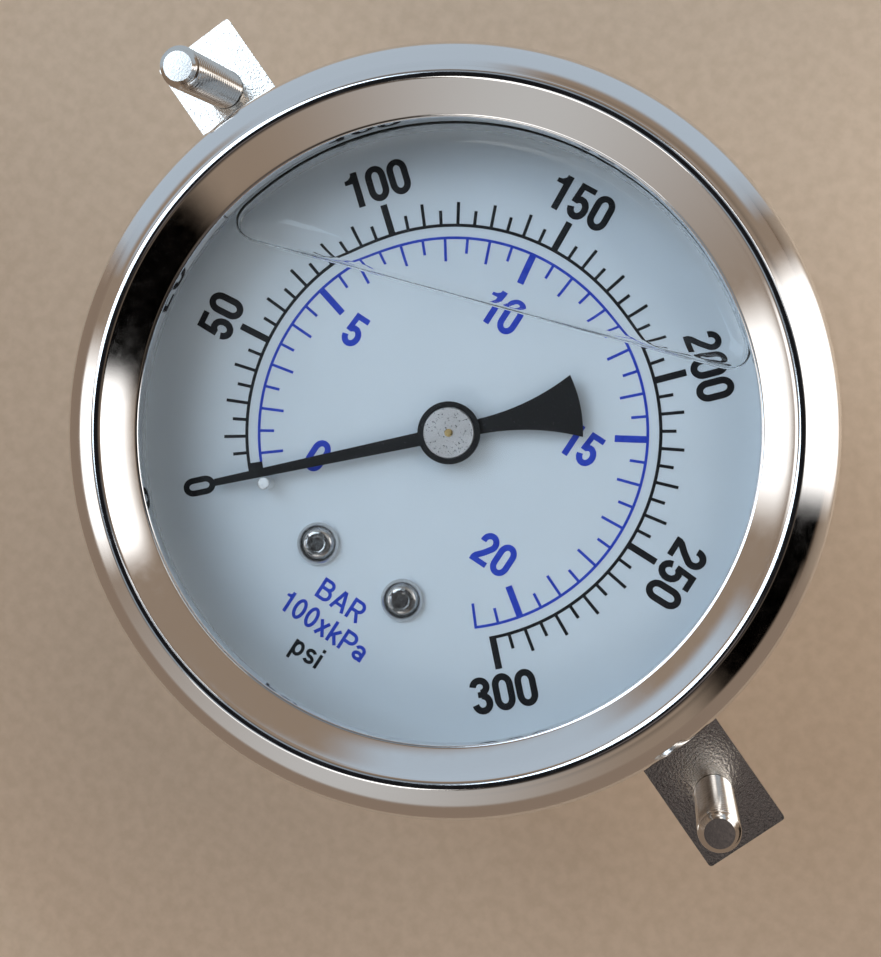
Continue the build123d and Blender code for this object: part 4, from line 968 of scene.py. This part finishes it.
def dial_paint():
    """Satin white paint, with a faint mottle."""
    material = finish_material("dial_paint", (0.69, 0.762, 0.835), 0.42)
    mottle = grain(material, 0.12, detail=2.0)
    vary_colour(material, mottle, (0.695, 0.767, 0.84), (0.67, 0.742, 0.815))
    vary_roughness(material, grain(material, 4.0), 0.36, 0.5)
    raise_surface(material, grain(material, 5.0), 0.002)
    return material


def print_black():
    """Screen-printed black ink."""
    material = finish_material("ink_black", (0.007, 0.007, 0.009), 0.4, Specular_IOR_Level=0.3)
    vary_roughness(material, grain(material, 5.0), 0.32, 0.5)
    return material


def print_blue():
    """Screen-printed royal blue ink."""
    material = finish_material("ink_blue", (0.02, 0.05, 0.5), 0.4, Specular_IOR_Level=0.3)
    vary_colour(material, grain(material, 1.2), (0.016, 0.045, 0.48), (0.03, 0.07, 0.56))
    vary_roughness(material, grain(material, 5.0), 0.32, 0.5)
    return material


def pointer_paint():
    """Matt black paint with specks of dust in it."""
    material = finish_material("pointer_paint", (0.006, 0.006, 0.007), 0.5, Specular_IOR_Level=0.3)
    dust = grain(material, 3.2, detail=4.0)
    vary_colour(material, dust, (0.005, 0.005, 0.006), (0.1, 0.1, 0.11), 0.66, 0.78)
    vary_roughness(material, grain(material, 4.0), 0.42, 0.62)
    raise_surface(material, grain(material, 5.0), 0.006)
    return material


def rubber():
    """Black nitrile rubber."""
    material = finish_material("black_rubber", (0.012, 0.012, 0.012), 0.7)
    vary_colour(material, grain(material, 0.9), (0.01, 0.01, 0.01), (0.022, 0.021, 0.02))
    vary_roughness(material, grain(material, 2.5), 0.6, 0.82)
    raise_surface(material, grain(material, 6.0), 0.008)
    return material


WINDOW_IOR, LIQUID_IOR = 1.49, 1.47
WINDOW_TINT, LIQUID_TINT = (0.97, 0.985, 0.99), (0.985, 0.99, 0.99)


def clear(name, ior, tint):
    """A clear solid that bends light, and lets the lamps light what is behind it."""
    material = finish_material(name, tint, 0.0)
    shader = shader_of(material)
    shader.inputs["Transmission Weight"].default_value = 1.0
    shader.inputs["IOR"].default_value = ior
    nodes, links = material.node_tree.nodes, material.node_tree.links
    rays = nodes.new("ShaderNodeLightPath")
    see_through = nodes.new("ShaderNodeBsdfTransparent")
    see_through.inputs["Color"].default_value = (*tint, 1)
    mix = nodes.new("ShaderNodeMixShader")
    links.new(rays.outputs["Is Shadow Ray"], mix.inputs["Fac"])
    links.new(shader.outputs["BSDF"], mix.inputs[1])
    links.new(see_through.outputs["BSDF"], mix.inputs[2])
    links.new(mix.outputs["Shader"], nodes["Material Output"].inputs["Surface"])
    return material


def paint_frame(screw):
    """Gives every CAD part that stays in view its finish."""
    steel, brass, zinc, black = satin_steel(), machined_brass(), zinc_steel(), rubber()
    bronze, nickel = spring_bronze(), bright_nickel()
    finishes = {
        "case": steel, "window": clear("window_clear", WINDOW_IOR, WINDOW_TINT),
        "window_gasket": black, "socket_seal": black, "fill_plug": black,
        "dial": dial_paint(), "dial_screws": dark_screw(), "stop_pin": pin_steel(),
        "pointer": pointer_paint(), "pointer_hub": turned_aluminium(),
        "clamp_bracket": nickel, "bracket_nuts": screw, "bracket_washers": screw,
        "hairspring": bronze, "bourdon_tube": bronze,
        "sector_shaft": zinc, "tail_screw": zinc, "pillar_screws": zinc, "movement_screws": zinc,
        "tip_screw": zinc, "case_screws": zinc,
    }
    for name, node in frame["nodes"].items():
        for index in range(len(node.data.materials)):
            node.data.materials[index] = finishes.get(name, brass)


# ---------------------------------------------------------------- camera, light and floor

# the camera's place in millimetres, and the directions of the picture's right side and top
CAMERA_SPOT = (14.9, 6.65, 179.7)
CAMERA_RIGHT = (0.8303, 0.5448, -0.1170)
CAMERA_UP = (-0.5494, 0.8355, -0.0085)
CAMERA_LENS, CAMERA_SENSOR = 53.6, 36.0
CAMERA_SHIFT = (-0.016, -0.0055)
# how far the picture is turned against the dial, in degrees
PHOTO_TURN = 33.3
GLOW_STEPS = 24


def add_camera():
    """The photograph's view: almost straight down, with 12 o'clock turned to the upper right."""
    data = bpy.data.cameras.new("camera")
    data.lens = CAMERA_LENS
    data.sensor_width = CAMERA_SENSOR
    data.shift_x, data.shift_y = CAMERA_SHIFT
    data.clip_start = 0.005
    data.clip_end = 20.0
    camera = bpy.data.objects.new("camera", data)
    bpy.context.scene.collection.objects.link(camera)
    right, up = Vector(CAMERA_RIGHT).normalized(), Vector(CAMERA_UP).normalized()
    back = right.cross(up).normalized()
    up = back.cross(right)
    turn = Matrix((right, up, back)).transposed().to_4x4()
    camera.matrix_world = Matrix.Translation(Vector(CAMERA_SPOT) * MM) @ turn
    bpy.context.scene.camera = camera


def toward(azimuth, elevation):
    """Direction from the gauge: azimuth as seen in the photograph, anticlockwise from its right side."""
    a, e = math.radians(azimuth + PHOTO_TURN), math.radians(elevation)
    return Vector((math.cos(a) * math.cos(e), math.sin(a) * math.cos(e), math.sin(e)))


def softbox(name, azimuth, elevation, distance, width, height, colour, watts):
    """A rectangular lamp that faces the dial."""
    data = bpy.data.lights.new(name, "AREA")
    data.shape = "RECTANGLE"
    data.size, data.size_y = width, height
    data.color = colour
    data.energy = watts
    lamp = bpy.data.objects.new(name, data)
    bpy.context.scene.collection.objects.link(lamp)
    out = toward(azimuth, elevation)
    lamp.location = Vector((0, 0, DIAL_FACE * MM)) + out * distance
    lamp.rotation_mode = "QUATERNION"
    lamp.rotation_quaternion = out.to_track_quat("Z", "Y")


def faded(position, soft):
    """How strong a glow is at a position from 0 to 1 across it, fading in and out at its ends."""
    inside = min(1.0, min(position, 1 - position) / soft)
    return inside * inside * (3 - 2 * inside)


def glow_material(name, colour, strength):
    """A light-giving cloth, or a dark one for no strength, that fades out where its mesh says."""
    material = bpy.data.materials.new(name)
    material.use_nodes = True
    nodes, links = material.node_tree.nodes, material.node_tree.links
    nodes.remove(nodes["Principled BSDF"])
    emission, clear_part = nodes.new("ShaderNodeEmission"), nodes.new("ShaderNodeBsdfTransparent")
    emission.inputs["Color"].default_value = (*colour, 1)
    emission.inputs["Strength"].default_value = strength
    fade, mix = nodes.new("ShaderNodeAttribute"), nodes.new("ShaderNodeMixShader")
    fade.attribute_name = "fade"
    links.new(fade.outputs["Fac"], mix.inputs["Fac"])
    links.new(clear_part.outputs["BSDF"], mix.inputs[1])
    links.new(emission.outputs["Emission"], mix.inputs[2])
    links.new(mix.outputs["Shader"], nodes["Material Output"].inputs["Surface"])
    return material


def glow(name, azimuths, elevations, reach, colour, strength, soft=(0.2, 0.2)):
    """A soft-edged patch of a dome round the dial, between two azimuths and two elevations."""
    bm = bmesh.new()
    grid, fades = [], []
    for i in range(GLOW_STEPS + 1):
        row = []
        for j in range(GLOW_STEPS + 1):
            across, up = i / GLOW_STEPS, j / GLOW_STEPS
            azimuth = azimuths[0] + (azimuths[1] - azimuths[0]) * across
            elevation = elevations[0] + (elevations[1] - elevations[0]) * up
            spot = toward(azimuth, elevation) * reach / MM
            row.append(bm.verts.new((spot.x, spot.y, spot.z + DIAL_FACE)))
            fades.append(faded(across, soft[0]) * faded(up, soft[1]))
        grid.append(row)
    for left, right in zip(grid, grid[1:]):
        for j in range(GLOW_STEPS):
            bm.faces.new((left[j], right[j], right[j + 1], left[j + 1]))
    mesh = mesh_from(bm, name)
    fade = mesh.attributes.new("fade", "FLOAT", "POINT")
    fade.data.foreach_set("value", fades)
    mesh.materials.append(glow_material(name, colour, strength))
    patch = bpy.data.objects.new(name, mesh)
    bpy.context.scene.collection.objects.link(patch)
    patch.visible_camera = False
    patch.visible_shadow = False


def add_lights():
    """Soft studio light: a key from the upper left, a fill, and pale cloths round the gauge."""
    cool, white, pale_blue = (0.74, 0.87, 1.0), (1.0, 0.97, 0.93), (0.76, 0.88, 1.0)
    softbox("key_light", 147, 52, 0.9, 0.54, 0.57, cool, 2.9)
    softbox("fill_light", 235, 52, 4.0, 1.8, 1.35, white, 16.0)
    softbox("right_fill", 45, 56, 4.0, 1.35, 1.15, white, 13.2)
    glow("left_cloth", (163, 201), (0, 42), 0.5, white, 1.9, (0.3, 0.3))
    glow("lower_left_cloth", (192, 300), (-2, 50), 0.5, white, 0.55, (0.5, 0.12))
    glow("right_cloth", (-14, 31), (-26, 48), 0.1, white, 2.6, (0.25, 0.2))
    glow("top_cloth_low", (36, 156), (-26, 24), 0.1, pale_blue, 0.62, (0.06, 0.14))
    glow("top_cloth_high", (76, 138), (0, 38), 0.14, pale_blue, 0.6, (0.25, 0.25))
    glow("table_cloth", (150, 340), (-26, 13), 0.1, (0.26, 0.19, 0.14), 1.0, (0.04, 0.14))
    glow("dark_cloth", (306, 358), (-8, 54), 0.6, (0, 0, 0), 0.0, (0.2, 0.2))
    glow("high_cloth", (10, 250), (47, 68), 1.2, pale_blue, 0.35, (0.12, 0.3))
    glow("ceiling_glow", (274, 322), (64, 83), 0.5, (1.0, 0.84, 0.8), 0.14, (0.12, 0.3))


# the room's light at the horizon and overhead, and what the camera sees behind the floor
HORIZON_GLOW = (0.3, 0.225, 0.165, 1)
CEILING = (0.009, 0.009, 0.01, 1)
BACKDROP = (0.4, 0.335, 0.27, 1)


def add_world():
    """A warm room under a dark ceiling."""
    world = bpy.data.worlds.new("studio")
    bpy.context.scene.world = world
    world.use_nodes = True
    nodes, links = world.node_tree.nodes, world.node_tree.links
    place = nodes.new("ShaderNodeTexCoord")
    split = nodes.new("ShaderNodeSeparateXYZ")
    ramp = nodes.new("ShaderNodeValToRGB")
    horizon, overhead = ramp.color_ramp.elements
    horizon.position, horizon.color = 0.5, HORIZON_GLOW
    overhead.position, overhead.color = 0.92, CEILING
    links.new(place.outputs["Generated"], split.inputs["Vector"])
    links.new(split.outputs["Z"], ramp.inputs["Fac"])
    links.new(ramp.outputs["Color"], nodes["Background"].inputs["Color"])
    rays, backdrop, mix = (nodes.new("ShaderNodeLightPath"), nodes.new("ShaderNodeBackground"),
                           nodes.new("ShaderNodeMixShader"))
    backdrop.inputs["Color"].default_value = BACKDROP
    links.new(rays.outputs["Is Camera Ray"], mix.inputs["Fac"])
    links.new(nodes["Background"].outputs["Background"], mix.inputs[1])
    links.new(backdrop.outputs["Background"], mix.inputs[2])
    links.new(mix.outputs["Shader"], nodes["World Output"].inputs["Surface"])


FLOOR_HALF = 5.0


def add_floor():
    """A plain pale floor under the pressure connection."""
    bm = bmesh.new()
    bmesh.ops.create_grid(bm, x_segments=1, y_segments=1, size=FLOOR_HALF / MM)
    mesh = mesh_from(bm, "floor", smooth=False)
    material = finish_material("floor", (0.6, 0.46, 0.34), 0.8)
    flecks = grain(material, 0.6, detail=6.0)
    vary_colour(material, flecks, (0.63, 0.485, 0.36), (0.57, 0.435, 0.315))
    mesh.materials.append(material)
    floor = bpy.data.objects.new("floor", mesh)
    bpy.context.scene.collection.objects.link(floor)


# ---------------------------------------------------------------- build it all

add_camera()
add_lights()
add_world()
add_floor()
bpy.context.scene.view_settings.view_transform = "Standard"
plated = screw_nickel()
paint_frame(plated)
dial_print()
bezel(polished_steel())
clamp_screw("clamp_screw_a", plated)
clamp_screw("clamp_screw_b", plated)
bracket_studs(zinc_steel())
pressure_connection(machined_brass())
liquid(clear("liquid_clear", LIQUID_IOR, LIQUID_TINT))
